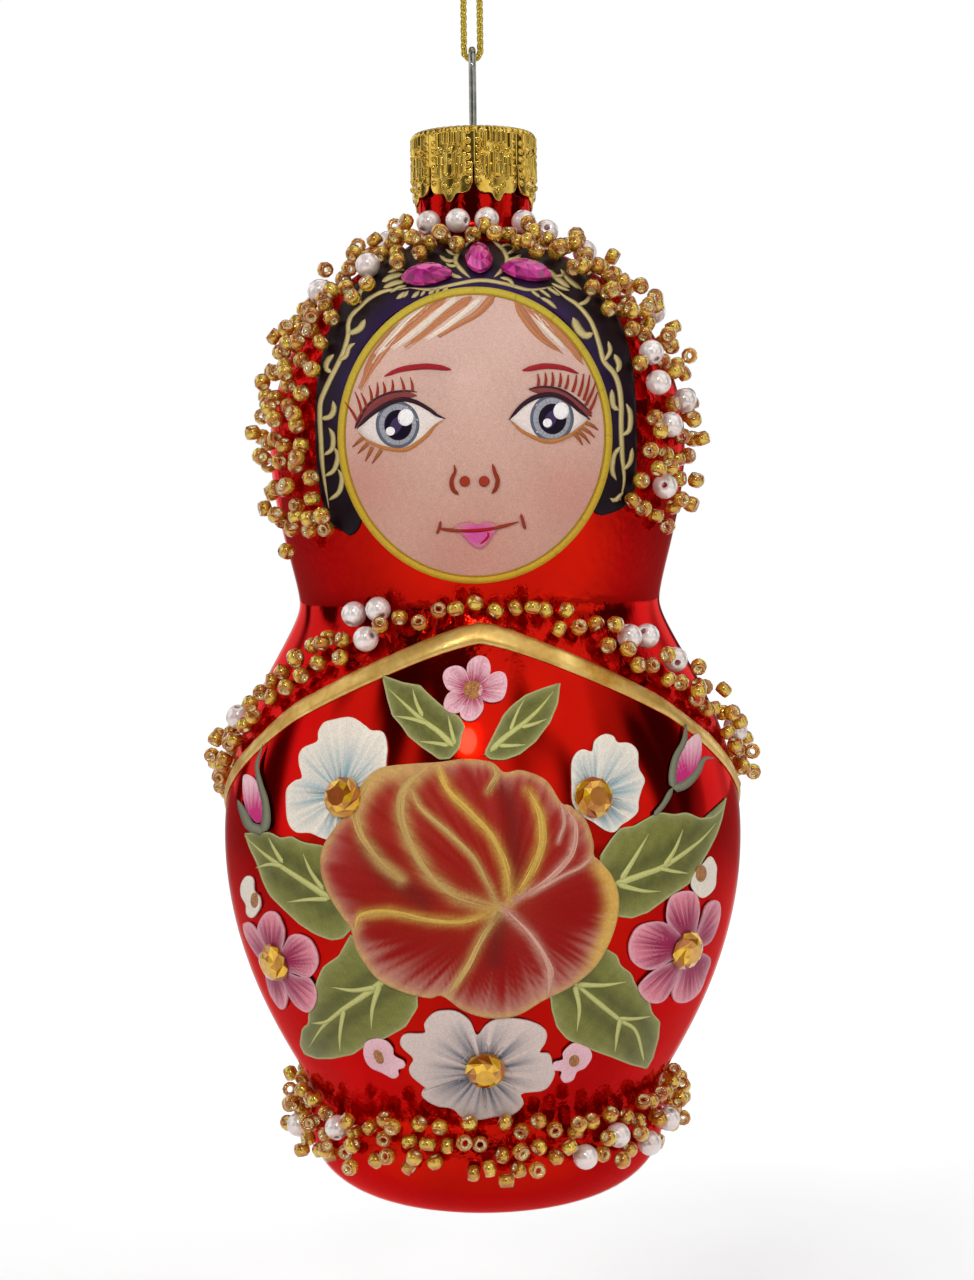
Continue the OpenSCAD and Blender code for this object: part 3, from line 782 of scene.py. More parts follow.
def hemHeight(turn):
    a = abs(turn) % 360
    a = 360 - a if a > 180 else a
    h = hemSizes
    dip = h["dip"] * math.sin(math.pi * a / h["dipTurn"]) if a < h["dipTurn"] else 0
    a = math.radians(a)
    return h["middle"] + h["swing"] * math.cos(a) + h["double"] * math.cos(2 * a) - dip


def trimMaterial():
    material, tree, shader = newMaterial("goldLeafPaint", {"Metallic": 0.65})
    noise = addNoise(tree, 260, 6, 0.62)
    rampTo(tree, noise, shader, "Base Color", shade(190, 134, 42), shade(250, 214, 128))
    rampTo(tree, noise, shader, "Roughness", grey(0.5), grey(0.24))
    addBump(tree, shader, noise, 0.5, 0.0002)
    return material


def makeTrim():
    h = hemSizes
    chance = np.random.default_rng(5)
    turn = np.arange(h["steps"]) * 360 / h["steps"]
    low = np.array([hemHeight(a) for a in turn])
    wobble = np.convolve(chance.normal(0, h["wobble"], h["steps"] + 6), np.ones(7) / 7, "valid")
    rows = []
    for s in np.linspace(0, 1, h["columns"]):
        lift = h["lift"] + h["thick"] * max(0, math.sin(math.pi * s)) ** 0.5 * 0.8
        height = low + s * (h["width"] + (wobble if s > 0.5 else -0.3 * wobble) * abs(2 * s - 1))
        rows.append(overGlass(turn, height, lift))
    for s in (1.0, 0.0):
        rows.append(overGlass(turn, low + s * h["width"], h["lift"] - h["root"]))
    points = np.array(rows).reshape(-1, 3)
    trim = addPiece("shawlEdge", toFrame(points), gridFaces(len(rows), h["steps"], True, 0, True))
    faceOut(trim, True)
    finishPiece(trim, "doll", "trim_gold", trimMaterial(), "shawl_trim")


makeGlass()
makeTrim()
print("glass blown, shawl edged")


# printed pictures: thin films drawn by photograph pixels and laid on the glass
filmSizes = {
    "strokeStep": 3.0,
    "strokeRise": 0.012,
    "strokeOver": 0.0008,
    "strokeRoot": 0.03,
    "low": (0.05, 0.17),                      # bottom and top of each layer, over the glass
    "middle": (0.22, 0.34),
    "high": (0.39, 0.51),
}
chance = np.random.default_rng(12)


def newFilm(layer):
    base, top = filmSizes[layer]
    return {"points": [], "faces": [], "paint": [], "count": 0, "base": base, "top": top, "laid": 0}


def addToFilm(film, points, faces, paint):
    start = film["count"]
    film["points"].append(points)
    film["paint"].append(np.broadcast_to(floats(paint)[..., :3], (len(points), 3)))
    film["faces"] += [tuple(v + start for v in face) for face in faces]
    film["count"] += len(points)


def nextLift(film):
    film["laid"] += 1
    return film["top"] + filmSizes["strokeRise"] + film["laid"] * filmSizes["strokeOver"]


# A filled shape round a centre. The colours come from a function of the pixels, or are one colour.
def layPatch(film, edge, centre, colours, rings=8, lift=None, base=None):
    edge = floats(edge)
    centre = floats(centre)
    if base is None:
        base = film["base"] if lift is None else film["top"] - filmSizes["strokeRoot"]
    if lift is None:
        lift = film["top"]
    n = len(edge)
    share = np.linspace(0, 1, rings + 1)[1:]
    grid = centre + share[:, None, None] * (edge - centre)[None, :, :]
    pixels = np.concatenate([grid.reshape(-1, 2), centre[None, :]])
    under = np.linspace(0, 1, 5)[1:]
    lowGrid = centre + under[:, None, None] * (edge - centre)[None, :, :]
    lowPixels = np.concatenate([lowGrid.reshape(-1, 2), centre[None, :]])
    points = np.concatenate([castToGlass(pixels, lift), castToGlass(lowPixels, base)])
    allPixels = np.concatenate([pixels, lowPixels])
    faces = gridFaces(rings, n, True)
    pole = rings * n
    faces += [(pole, (j + 1) % n, j) for j in range(n)]
    low = pole + 1
    lowFaces = gridFaces(len(under), n, True, low)
    faces += [face[::-1] for face in lowFaces]
    lowPole = low + len(under) * n
    faces += [(lowPole, low + j, low + (j + 1) % n) for j in range(n)]
    top = (rings - 1) * n
    rim = low + (len(under) - 1) * n
    faces += [(top + j, top + (j + 1) % n, rim + (j + 1) % n, rim + j) for j in range(n)]
    addToFilm(film, points, faces, colours(allPixels) if callable(colours) else colours)


def looped(line, skip=1):
    return np.concatenate([line[::skip], line[:1]])


def closedEdge(corners, step=4.0, sharp=False):
    corners = floats(corners)
    if sharp:
        ring = looped(corners)
        pieces = []
        for a, b in zip(ring[:-1], ring[1:]):
            count = max(2, int(np.linalg.norm(b - a) / step) + 1)
            t = np.linspace(0, 1, count, endpoint=False)[:, None]
            pieces.append(a * (1 - t) + b * t)
        return np.concatenate(pieces)
    around = np.concatenate([corners[-2:], corners, corners[:3]])
    fine = smoothLine(around, 24 * len(around))
    per = 24 * len(around) / (len(around) - 1)
    fine = fine[int(round(2 * per)):int(round((2 + len(corners)) * per))]
    run = runAlong(fine)
    at = np.linspace(0, run[-1], max(10, int(run[-1] / step)), endpoint=False)
    return pointsAt(at, run, fine)


def ovalEdge(centre, across, up, count=48, turn=0.0):
    a = np.linspace(0, 2 * math.pi, count, endpoint=False)
    x, y = across * np.cos(a), -up * np.sin(a)
    c, s = math.cos(turn), math.sin(turn)
    return np.stack([centre[0] + x * c - y * s, centre[1] + x * s + y * c], axis=1)


def layOval(film, centre, across, up, colour, turn=0.0, rings=3, count=40):
    layPatch(film, ovalEdge(centre, across, up, count, turn), centre, colour, rings, nextLift(film))


# A brush stroke: width along it from first to last, thinner at the ends by the taper
def layStroke(film, line, width, colour, taper=(0.25, 0.25), endColour=None, step=None):
    line = floats(line)
    path = evenLine(line, step or filmSizes["strokeStep"])
    n = len(path)
    s = np.linspace(0, 1, n)
    along = headings(path)
    side = np.stack([-along[:, 1], along[:, 0]], axis=1)
    widths = np.interp(s, np.linspace(0, 1, len(np.atleast_1d(width))), np.atleast_1d(width))
    ends = np.ones(n)
    if taper[0] > 0:
        ends *= unit(s / taper[0]) ** 0.6
    if taper[1] > 0:
        ends *= unit((1 - s) / taper[1]) ** 0.6
    half = np.maximum(widths * ends / 2, 0.25)
    left = path + half[:, None] * side
    right = path - half[:, None] * side
    lift = nextLift(film)
    low = film["top"] - filmSizes["strokeRoot"]
    points = np.concatenate([
        castToGlass(left, lift), castToGlass(right, lift), castToGlass(right, low), castToGlass(left, low)
    ])
    faces = []
    for k in range(4):
        a, b = k * n, ((k + 1) % 4) * n
        faces += [(a + i, b + i, b + i + 1, a + i + 1) for i in range(n - 1)]
    faces.append((0, 3 * n, 2 * n, n))
    faces.append((n - 1, 2 * n - 1, 3 * n - 1, 4 * n - 1))
    colour = np.asarray(colour)[:3]
    paint = np.broadcast_to(colour, (n, 3))
    if endColour is not None:
        paint = colour * (1 - s[:, None]) + np.asarray(endColour)[:3] * s[:, None]
    addToFilm(film, points, faces, np.tile(paint, (4, 1)))


def wash(colour, pixels):
    return np.tile(colour, (len(pixels), 1))


def grain(pixels, size, seed):
    shift = np.random.default_rng(seed).uniform(0, 2 * math.pi, (6, 3))
    value = np.zeros(len(pixels))
    for a, b, c in shift:
        along = pixels[:, 0] * math.cos(a) + pixels[:, 1] * math.sin(a)
        value += np.sin(along * 2 * math.pi / size * (0.6 + b / 6) + c)
    return value / 3.5


def gapToLine(pixels, line):
    line = floats(line)
    best = np.full(len(pixels), 1e9)
    for a, b in zip(line[:-1], line[1:]):
        along = b - a
        t = unit(((pixels - a) @ along) / max(along @ along, 1e-9))
        best = np.minimum(best, lengths(pixels - a - t[:, None] * along))
    return best


def filmMaterial():
    material, tree, shader = newMaterial("printedFilm", {
        "Roughness": 0.4, "Specular IOR Level": 0.1, "Coat Weight": 0.04, "Coat Roughness": 0.08,
    })
    paint = readMark(tree, "paint", "Color")
    speckle = addNoise(tree, 5200, 2, 0.6)
    tone = addRamp(tree, speckle, grey(0.84), grey(1.08), 0.3, 0.72)
    mixed = mixTones(tree, 1.0, paint, tone, "MULTIPLY")
    feed(tree, shader.inputs["Base Color"], mixed)
    creases = addNoise(tree, 420, 3, 0.5)
    addBump(tree, shader, creases, 0.12, 0.0002)
    return material


filmPrint = filmMaterial()


def finishFilm(film, name, slot, node):
    points = toFrame(np.concatenate(film["points"]))
    piece = addPiece(name, points, film["faces"], np.concatenate(film["paint"]))
    finishPiece(piece, "doll", slot, filmPrint, node)
    faceOut(piece)


# A band between two lines that run side by side
def layBand(film, inner, outer, colours, count=130, columns=14):
    a = evenLine(inner, 1.0)
    b = evenLine(outer, 1.0)
    at = np.linspace(0, 1, count)
    a = pointsAt(at, np.linspace(0, 1, len(a)), a)
    b = pointsAt(at, np.linspace(0, 1, len(b)), b)
    share = np.linspace(0, 1, columns)[:, None, None]
    pixels = a * (1 - share) + b * share
    bulge = np.sqrt(1 - (2 * share - 1) ** 2)
    away = np.arange(count)
    for end, past, steps in ((0, 4, away), (-1, -5, count - 1 - away)):      # round the two ends off
        outward = (a[end] - a[past]) / np.linalg.norm(a[end] - a[past])
        reach = 0.36 * np.linalg.norm(a[end] - b[end])
        pixels = pixels + bulge * unit(1 - steps / 8)[None, :, None] * reach * outward
    pixels = pixels.reshape(-1, 2)
    points = np.concatenate([castToGlass(pixels, film["top"]), castToGlass(pixels, film["base"])])
    half = columns * count
    top = gridFaces(columns, count)
    faces = top + [tuple(v + half for v in face[::-1]) for face in top]
    ring = list(range(count)) + [i * count + count - 1 for i in range(1, columns)]
    ring += list(range(half - 2, half - count - 1, -1)) + [i * count for i in range(columns - 2, 0, -1)]
    for i, v in enumerate(ring):
        w = ring[(i + 1) % len(ring)]
        faces.append((v, v + half, w + half, w))
    paint = colours(np.concatenate([pixels, pixels]))
    addToFilm(film, points, faces, paint)


# face: a doll's, printed on a disc with a gold rim
facePrint = {
    "centre": (475, 436),
    "across": 134.5,
    "up": 146,
    "tonesFrom": (330, 570),
    "cheeks": [(362, 486, 40), (572, 494, 42), (470, 560, 60)],
    "rimInset": 2.6,
    "rimWide": 6.6,
    "innerInset": 6.4,
    "innerWide": 1.4,
    "nostrils": [(465, 481), (484, 481)],
    "lipMiddle": (478, 533),
    "lipReach": (21, 15),
    **inks({
        "skin": (215, 177, 163), "skinLow": (195, 145, 125), "blush": (198, 126, 112),
        "rim": (196, 172, 58), "rimLow": (204, 160, 46), "rust": (150, 52, 30), "brow": (165, 36, 44),
        "lid": (132, 62, 60), "lidLine": (52, 26, 36), "lowLid": (188, 120, 66),
        "eyeWhite": (230, 214, 206), "irisEdge": (92, 98, 112), "iris": (160, 158, 166),
        "pupil": (22, 12, 30), "violet": (74, 56, 96), "spark": (246, 240, 238),
        "hairTan": (196, 128, 88), "hairCream": (236, 216, 198), "lips": (206, 84, 150),
        "lipLine": (168, 24, 34),
    }),
}


def faceDown(y):
    top, bottom = facePrint["tonesFrom"]
    return rise(y, top, bottom - top)


def skinColours(pixels):
    f = facePrint
    down = faceDown(pixels[:, 1])
    colours = blendTo(wash(f["skin"], pixels), f["skinLow"], down * 0.8)
    for x, y, wide in f["cheeks"]:
        near = np.exp(-((pixels[:, 0] - x) ** 2 + (pixels[:, 1] - y) ** 2) / wide ** 2)
        colours = blendTo(colours, f["blush"], near * 0.5)
    return colours * (1 + 0.035 * grain(pixels, 70, 3) + 0.02 * grain(pixels, 14, 4))[:, None]


eyeSizes = {                                  # half widths and heights
    "irisEdge": (21.5, 23.2),
    "iris": (18.4, 20.2),
    "rays": 26,
    "raySpan": ((13, 14.5), (17.6, 19.4)),
    "pupil": (13.6, 15),
    "violet": (5.5, 10),
    "bigSpark": (7.6, 8.4),
    "smallSpark": (4.5, 4.3),
}


def layEye(film, eye):
    f = facePrint
    e = eyeSizes
    layPatch(film, closedEdge(eye["white"], 3), eye["iris"], f["eyeWhite"], 4, nextLift(film))
    x, y = eye["iris"]
    layOval(film, (x, y), *e["irisEdge"], f["irisEdge"], 0, 9)
    layOval(film, (x, y), *e["iris"], f["iris"], 0, 9)
    for k in range(e["rays"]):               # fine rays in the iris
        a = k * 2 * math.pi / e["rays"]
        ray = [(x + wide * math.cos(a), y + high * math.sin(a)) for wide, high in e["raySpan"]]
        layStroke(film, ray, 1.1, f["iris"] * (0.72 + 0.12 * (k % 3)), (0.2, 0.5))
    layOval(film, (x + 0.5, y + 0.5), *e["pupil"], f["pupil"], 0, 7)
    layOval(film, (x - 1.5, y + 1), *e["violet"], f["violet"] * 0.8, 0.5, 5)
    layOval(film, eye["bigSpark"], *e["bigSpark"], f["spark"], 0.3)
    layOval(film, eye["smallSpark"], *e["smallSpark"], f["spark"])
    layStroke(film, eye["lowLid"], (2.2, 4.0, 3.0), f["lowLid"], (0.15, 0.2))
    layStroke(film, eye["lidBand"], (5, 9, 9, 6), f["lid"], (0.12, 0.15))
    layStroke(film, eye["bandTop"], 2.2, f["lidLine"] * 1.6, (0.1, 0.2))
    layStroke(film, eye["lidLine"], (3, 5, 4.4, 3), f["lidLine"], (0.1, 0.12))
    for base, tip in eye["lashes"]:
        middle = ((base[0] + tip[0]) / 2 + 0.8, (base[1] + tip[1]) / 2)
        layStroke(film, [base, middle, tip], (2.6, 1.8), f["rust"], (0, 0.5), step=2)
    for base, tip in eye["lowLashes"]:
        middle = ((base[0] + tip[0]) / 2 + 0.6, (base[1] + tip[1]) / 2 - 0.8)
        layStroke(film, [base, middle, tip], (3.6, 2.0), f["lowLid"] * 0.8, (0, 0.5), f["rust"], 2)


leftEye = {
    "white": [
        (360, 430), (371, 416), (384, 406), (398, 401), (412, 402), (426, 408), (438, 416), (444, 420.4),
        (436, 427), (425, 438), (409.6, 447), (395, 449), (383, 446), (369.5, 440),
    ],
    "iris": (399, 425),
    "bigSpark": (407, 418),
    "smallSpark": (392, 431.5),
    "lowLid": [
        (360.5, 433), (369.5, 441), (383, 447), (397, 449.6), (409.6, 448.5), (425, 438), (436, 426),
        (443.6, 421),
    ],
    "lidBand": [(357, 428), (371, 409), (389, 398), (406, 395.6), (418, 396.5)],
    "bandTop": [(357, 429), (371, 405), (389, 394.5), (408, 392), (418, 393)],
    "lidLine": [
        (359, 429), (372, 416), (387, 406), (402, 400.4), (416, 402.5), (430, 410), (438, 416), (446, 419),
    ],
    "lashes": [
        ((359.6, 422), (347, 402.5)), ((364, 415), (357, 392.7)), ((368.6, 409), (362.8, 393.6)),
        ((373.5, 402.5), (370.8, 386.4)), ((378.4, 398), (378.8, 383.3)), ((386.4, 394.5), (384.6, 382.9)),
        ((393.6, 392.7), (393.6, 380.6)), ((405.6, 392.7), (401.6, 378)), ((413.7, 392.7), (411.4, 378.4)),
    ],
    "lowLashes": [
        ((365.9, 437.3), (354.7, 447)), ((369.5, 443.6), (360, 453.4)), ((374, 447), (367.2, 461)),
        ((382.9, 449.8), (374, 463.2)),
    ],
}
rightEye = {
    "white": [
        (510, 420), (520, 409), (532, 400.5), (546, 396), (560, 397.5), (573, 405), (585.4, 418.7),
        (577, 428), (569, 434.5), (556, 440), (543, 440), (530, 436), (519, 428),
    ],
    "iris": (550.5, 419),
    "bigSpark": (559.5, 411.6),
    "smallSpark": (546, 423.4),
    "lowLid": [(510, 421), (524, 433), (547.7, 441.5), (569, 435), (585.4, 421)],
    "lidBand": [(529, 391), (543, 391.5), (559, 395.5), (574, 405), (590, 417)],
    "bandTop": [(528, 390), (543, 388), (559.7, 391), (574, 400), (590, 414)],
    "lidLine": [(508.6, 420), (522, 405.6), (536, 397.6), (551, 395.6), (565, 401), (578, 412), (588, 420)],
    "lashes": [
        ((537, 388), (536.6, 375)), ((544, 387), (544, 374)), ((551, 387), (551, 373.4)),
        ((558, 388), (559, 374.4)), ((564, 390), (566.6, 376)), ((571, 393), (574.8, 376)),
        ((577, 397), (582, 375)), ((582, 401), (588, 376)), ((584, 406), (593.7, 383)),
        ((587, 413), (595.4, 393)),
    ],
    "lowLashes": [
        ((584.3, 423.4), (596, 430.5)), ((579.6, 428), (592.5, 437.6)), ((574.8, 430.5), (587.8, 443.5)),
        ((571.3, 433), (580.7, 445)),
    ],
}
hairStrokes = [
    ("hairTan", [(361.8, 391), (372.8, 366), (388.3, 344.3), (407.6, 326.6), (426, 315.4)], (4, 12, 13, 8)),
    ("hairCream", [(378, 357), (398, 334), (414, 318), (430, 306)], (5, 8, 7)),
    ("hairTan", [(392, 346), (412, 327), (432, 309), (446, 301)], (3, 8, 9)),
    ("hairCream", [(393.6, 351), (419, 332), (443, 312), (458, 300)], (3, 7, 7)),
    ("hairTan", [(406, 349), (426, 334), (449, 315), (472, 299)], (3, 7, 9)),
    ("hairCream", [(426, 341.5), (449, 327), (470, 310), (481, 300)], (3, 6, 6)),
    ("hairTan", [(438.5, 338), (455.5, 328), (473.6, 318), (484, 309), (494, 297)], (2, 6, 9)),
    ("hairTan", [(514, 301), (522, 315), (533, 330.6), (545, 343), (560, 353.6)], (10, 9, 3)),
    ("hairCream", [(527, 306), (545, 329.4), (564.5, 351)], (8, 7, 3)),
    ("hairTan", [(525, 309), (549, 326), (570, 348), (581, 365)], (8, 10, 5)),
]
faceLines = [
    ("brow", [(386, 377.5), (402, 371), (423, 368), (438, 368.6), (451.6, 371)], (2.5, 5, 5.4, 4)),
    ("brow", [(521.5, 371.8), (542.7, 367.6), (562, 369.4), (576.7, 374.8)], (4, 5.4, 4.4, 2.4)),
    ("rust", [(454.5, 464.7), (455.5, 471), (452, 480), (453.5, 489), (459, 494)], (2, 3.4, 4.4, 3.4)),
    ("rust", [(492.3, 463.5), (494.5, 472), (497.3, 480), (495.5, 488), (491.5, 493)], (2.4, 4, 4.2, 3)),
]
mouthLines = [
    ("rust", [(439, 527.7), (455, 529.5), (477, 529.6), (500.5, 526), (518, 521)], (2.6, 3.2, 3.8, 3.2, 2.4)),
    ("lipLine", [(462, 529.4), (478, 529.2), (494, 527.4)], (2, 3.6, 2)),
    ("rust", [(441.2, 520.4), (440, 527), (437.6, 533)], (2.4, 2.6)),
    ("rust", [(520.2, 513.4), (522, 520), (524.2, 528.6)], (2.6, 3.2)),
    ("lipLine", [(487.4, 530.8), (488.2, 535), (485, 539), (480, 543)], (2.2, 2.6, 1.6)),
]


def faceRing(inset):
    return looped(ovalEdge(facePrint["centre"], facePrint["across"] - inset, facePrint["up"] - inset, 160))


def makeFace():
    f = facePrint
    film = newFilm("middle")
    layPatch(film, ovalEdge(f["centre"], f["across"], f["up"], 200), f["centre"], skinColours, 60)
    for name, line, width in hairStrokes:
        tone = f[name]
        layStroke(film, line, width, tone, (0.2, 0.1), tone * 0.92)
        for k in range(5):                   # fine hairs along each lock
            side = chance.uniform(-0.35, 0.35) * float(np.mean(width))
            hair = floats(line) + np.array([side, side])
            layStroke(film, hair, 1.3, tone * chance.uniform(0.72, 1.18), (0.4, 0.3))
    rimPath = faceRing(f["rimInset"])
    for start in range(0, 160, 8):
        down = faceDown(rimPath[start + 4][1])
        tone = f["rim"] * (1 - down) + f["rimLow"] * down
        layStroke(film, rimPath[start:start + 10], f["rimWide"], tone, (0, 0))
    innerRim = faceRing(f["innerInset"])
    for start in range(0, 160, 8):
        layStroke(film, innerRim[start:start + 10], f["innerWide"], f["rimLow"] * 0.62, (0, 0))
    layEye(film, leftEye)
    layEye(film, rightEye)
    for name, line, width in faceLines:
        layStroke(film, line, width, f[name], (0.12, 0.12), f[name] * 0.85, 2)
    for nostril in f["nostrils"]:
        layOval(film, nostril, 5.2, 5.4, f["rust"] * 1.1, 0.4, 2, 14)
    layPatch(film, closedEdge([
        (456, 529), (460, 523), (470, 521.5), (478, 524), (487, 521), (496, 523.5), (499, 528), (490, 529.5)
    ], 2), (478, 527.4), lipColours, 4, nextLift(film))
    layPatch(film, closedEdge([
        (462, 530), (466, 538), (473, 545), (480, 547.4), (487, 543), (492, 535), (494, 529)
    ], 2), (478, 535), lipColours, 5, nextLift(film))
    for name, line, width in mouthLines:
        layStroke(film, line, width, f[name], (0.1, 0.15), None, 2)
    finishFilm(film, "printedFace", "face_print", "face_disc")


def lipColours(pixels):
    f = facePrint
    gap = (pixels - np.array(f["lipMiddle"])) / np.array(f["lipReach"])
    far = np.hypot(gap[:, 0], gap[:, 1])
    base = wash(f["lips"], pixels)
    paint = blendTo(base, f["skinLow"], unit(far - 0.45) * 1.1)
    return paint * (1 + 0.06 * grain(pixels, 6, 8))[:, None]


makeFace()
print("face printed")


# headband: dark, with pale gold scrolls
bandPrint = {
    "violetRound": (1.16, -0.16),
    "violetDown": (470, -160),
    **inks({
        "dark": (25, 12, 20), "violet": (56, 32, 84), "scroll": (208, 188, 130),
        "scrollDeep": (132, 116, 74),
    }),
    "inner": [
        (362, 506), (352, 480), (346, 450), (345, 430), (347, 400), (355, 368), (370, 340), (390, 318),
        (415, 303), (445, 295.5), (475, 295), (505, 295.5), (535, 303), (560, 318), (580, 340), (595, 368),
        (603, 400), (605, 430), (604, 450), (598, 480), (590, 502),
    ],
    "outer": [
        (346, 532), (332, 522), (323, 500), (318, 470), (316, 430), (317, 395), (322, 360), (331, 328),
        (345, 300), (364, 277), (390, 258), (420, 247), (450, 243), (482, 242), (515, 244), (545, 251),
        (572, 264), (596, 284), (613, 308), (625, 338), (632, 370), (635, 405), (636, 440), (635, 475),
        (632, 496), (622, 508), (607, 512),
    ],
}
scrolls = [
    ([(410.6, 289), (395, 290.6), (382.7, 293), (370.6, 299), (361, 307.6), (352, 317), (349, 326),
      (349, 335.5), (345, 351), (339, 364.5), (332, 378), (326, 391), (321.5, 403), (321, 419),
      (322, 440), (324, 470), (330, 508)], 4),
    ([(349, 334), (354, 333), (361, 329), (366, 320)], 5),
    ([(333, 373), (327, 369), (329, 361), (335, 355)], 4.5),
    ([(322, 419), (331, 417), (335, 410), (334, 401)], 4.5),
    ([(325, 455), (333, 449), (334, 436), (330, 428)], 4),
    ([(326, 476), (335, 470), (339, 456), (335, 447)], 4),
    ([(330, 500), (340, 492), (343, 478), (339, 469)], 4),
    ([(362, 306), (360, 296), (366, 287), (376, 283)], 3.5),
    ([(340, 361), (347, 357), (350, 348), (356, 344)], 3.5),
    ([(410, 289), (431, 290.6), (453, 286), (480, 281.5), (505, 285), (529, 291), (552, 288)], 3),
    ([(382.7, 283), (392, 278), (403, 275)], 4.5),
    ([(384, 289), (396, 284), (405, 283)], 4),
    ([(397, 300), (403, 296), (407, 293)], 3.5),
    ([(412, 299), (416, 296), (420, 292)], 3.5),
    ([(429, 295.5), (432, 293), (435, 290.6)], 3.5),
    ([(442, 293.6), (446, 291), (448, 288)], 3.5),
    ([(471, 243), (461, 250), (455.5, 262), (461.5, 271), (470, 279)], 3.6),
    ([(493, 243), (502, 250), (507, 261), (503, 270), (494, 278.5)], 3.6),
    ([(456, 262), (447, 262), (440, 257)], 3),
    ([(507, 261), (515, 260), (521, 256)], 3),
    ([(462, 279), (452, 276), (447, 269)], 3),
    ([(500, 279), (509, 281), (514, 288)], 3),
    ([(552, 288), (564.5, 298), (576.7, 306), (587.6, 318.5), (593.6, 330.6), (598.5, 346), (603, 362),
      (613, 374), (618, 387.6), (620, 406), (620, 428), (621, 455), (623, 480), (619, 500)], 4),
    ([(592, 334), (585, 336.7), (578, 330.6), (572, 318.5)], 6.5),
    ([(616, 373), (618, 364.5), (613, 355)], 4.5),
    ([(618, 410.6), (612, 406), (610.6, 390)], 4.5),
    ([(620, 436), (628, 430), (629, 414), (625, 404)], 4),
    ([(620, 446), (613, 455), (611, 470), (615, 480)], 4),
    ([(622, 470), (629, 462), (631, 448)], 3.6),
    ([(622, 492), (614, 500), (609, 498)], 3.4),
    ([(547.6, 271), (555, 278.5), (569, 289)], 4.5),
    ([(560, 271), (568, 281), (581, 291)], 3.6),
    ([(577, 306), (585, 303), (590, 296)], 3.4),
    ([(603, 362), (609, 352), (607, 342)], 3.4),
    ([(540, 299), (548, 303), (556, 310)], 3),
]
feathers = [                                 # short combs between the stones
    [(404, 299), (407, 295), (409, 292)], [(421, 297.5), (424, 294), (426, 291.5)],
    [(436, 294.5), (438, 292), (440, 289.5)], [(389, 274), (398, 271), (405, 271.5)],
    [(391, 294), (399, 289), (407, 287)], [(463, 249), (456, 246), (452, 247)],
    [(456, 257), (450, 254), (446, 251)], [(458, 267), (451, 267.5), (446, 265)],
    [(500, 249), (506, 246), (510, 247)], [(506, 256), (512, 253), (516, 250)],
    [(553, 278), (559, 277.5), (565, 276)], [(551, 285), (560, 289), (568.6, 292)],
    [(546, 288.5), (553, 293), (559, 297)], [(538, 290), (545, 295), (550, 299)],
    [(530, 291.5), (536, 296), (540, 299)],
]


def bandColours(pixels):
    b = bandPrint
    middle = facePrint["centre"]
    x = (pixels[:, 0] - middle[0]) / facePrint["across"]
    y = (pixels[:, 1] - middle[1]) / facePrint["up"]
    near = rise(np.hypot(x, y), *b["violetRound"]) * rise(pixels[:, 1], *b["violetDown"])
    colours = blendTo(wash(b["dark"], pixels), b["violet"], near * 0.75)
    return colours * (1 + 0.14 * grain(pixels, 26, 21))[:, None]


def makeHeadband():
    b = bandPrint
    film = newFilm("low")
    layBand(film, b["inner"], b["outer"], bandColours)
    for line, width in scrolls + [(line, 2.4) for line in feathers]:
        layStroke(film, line, (width, width * 1.4, width * 1.2), b["scrollDeep"], (0.12, 0.2))
        thin = (width * 0.7, width * 1.05, width * 0.8)
        layStroke(film, line, thin, b["scroll"], (0.12, 0.2), b["scroll"] * 0.86)
    finishFilm(film, "printedHeadband", "band_print", "headband")


makeHeadband()
print("headband printed")


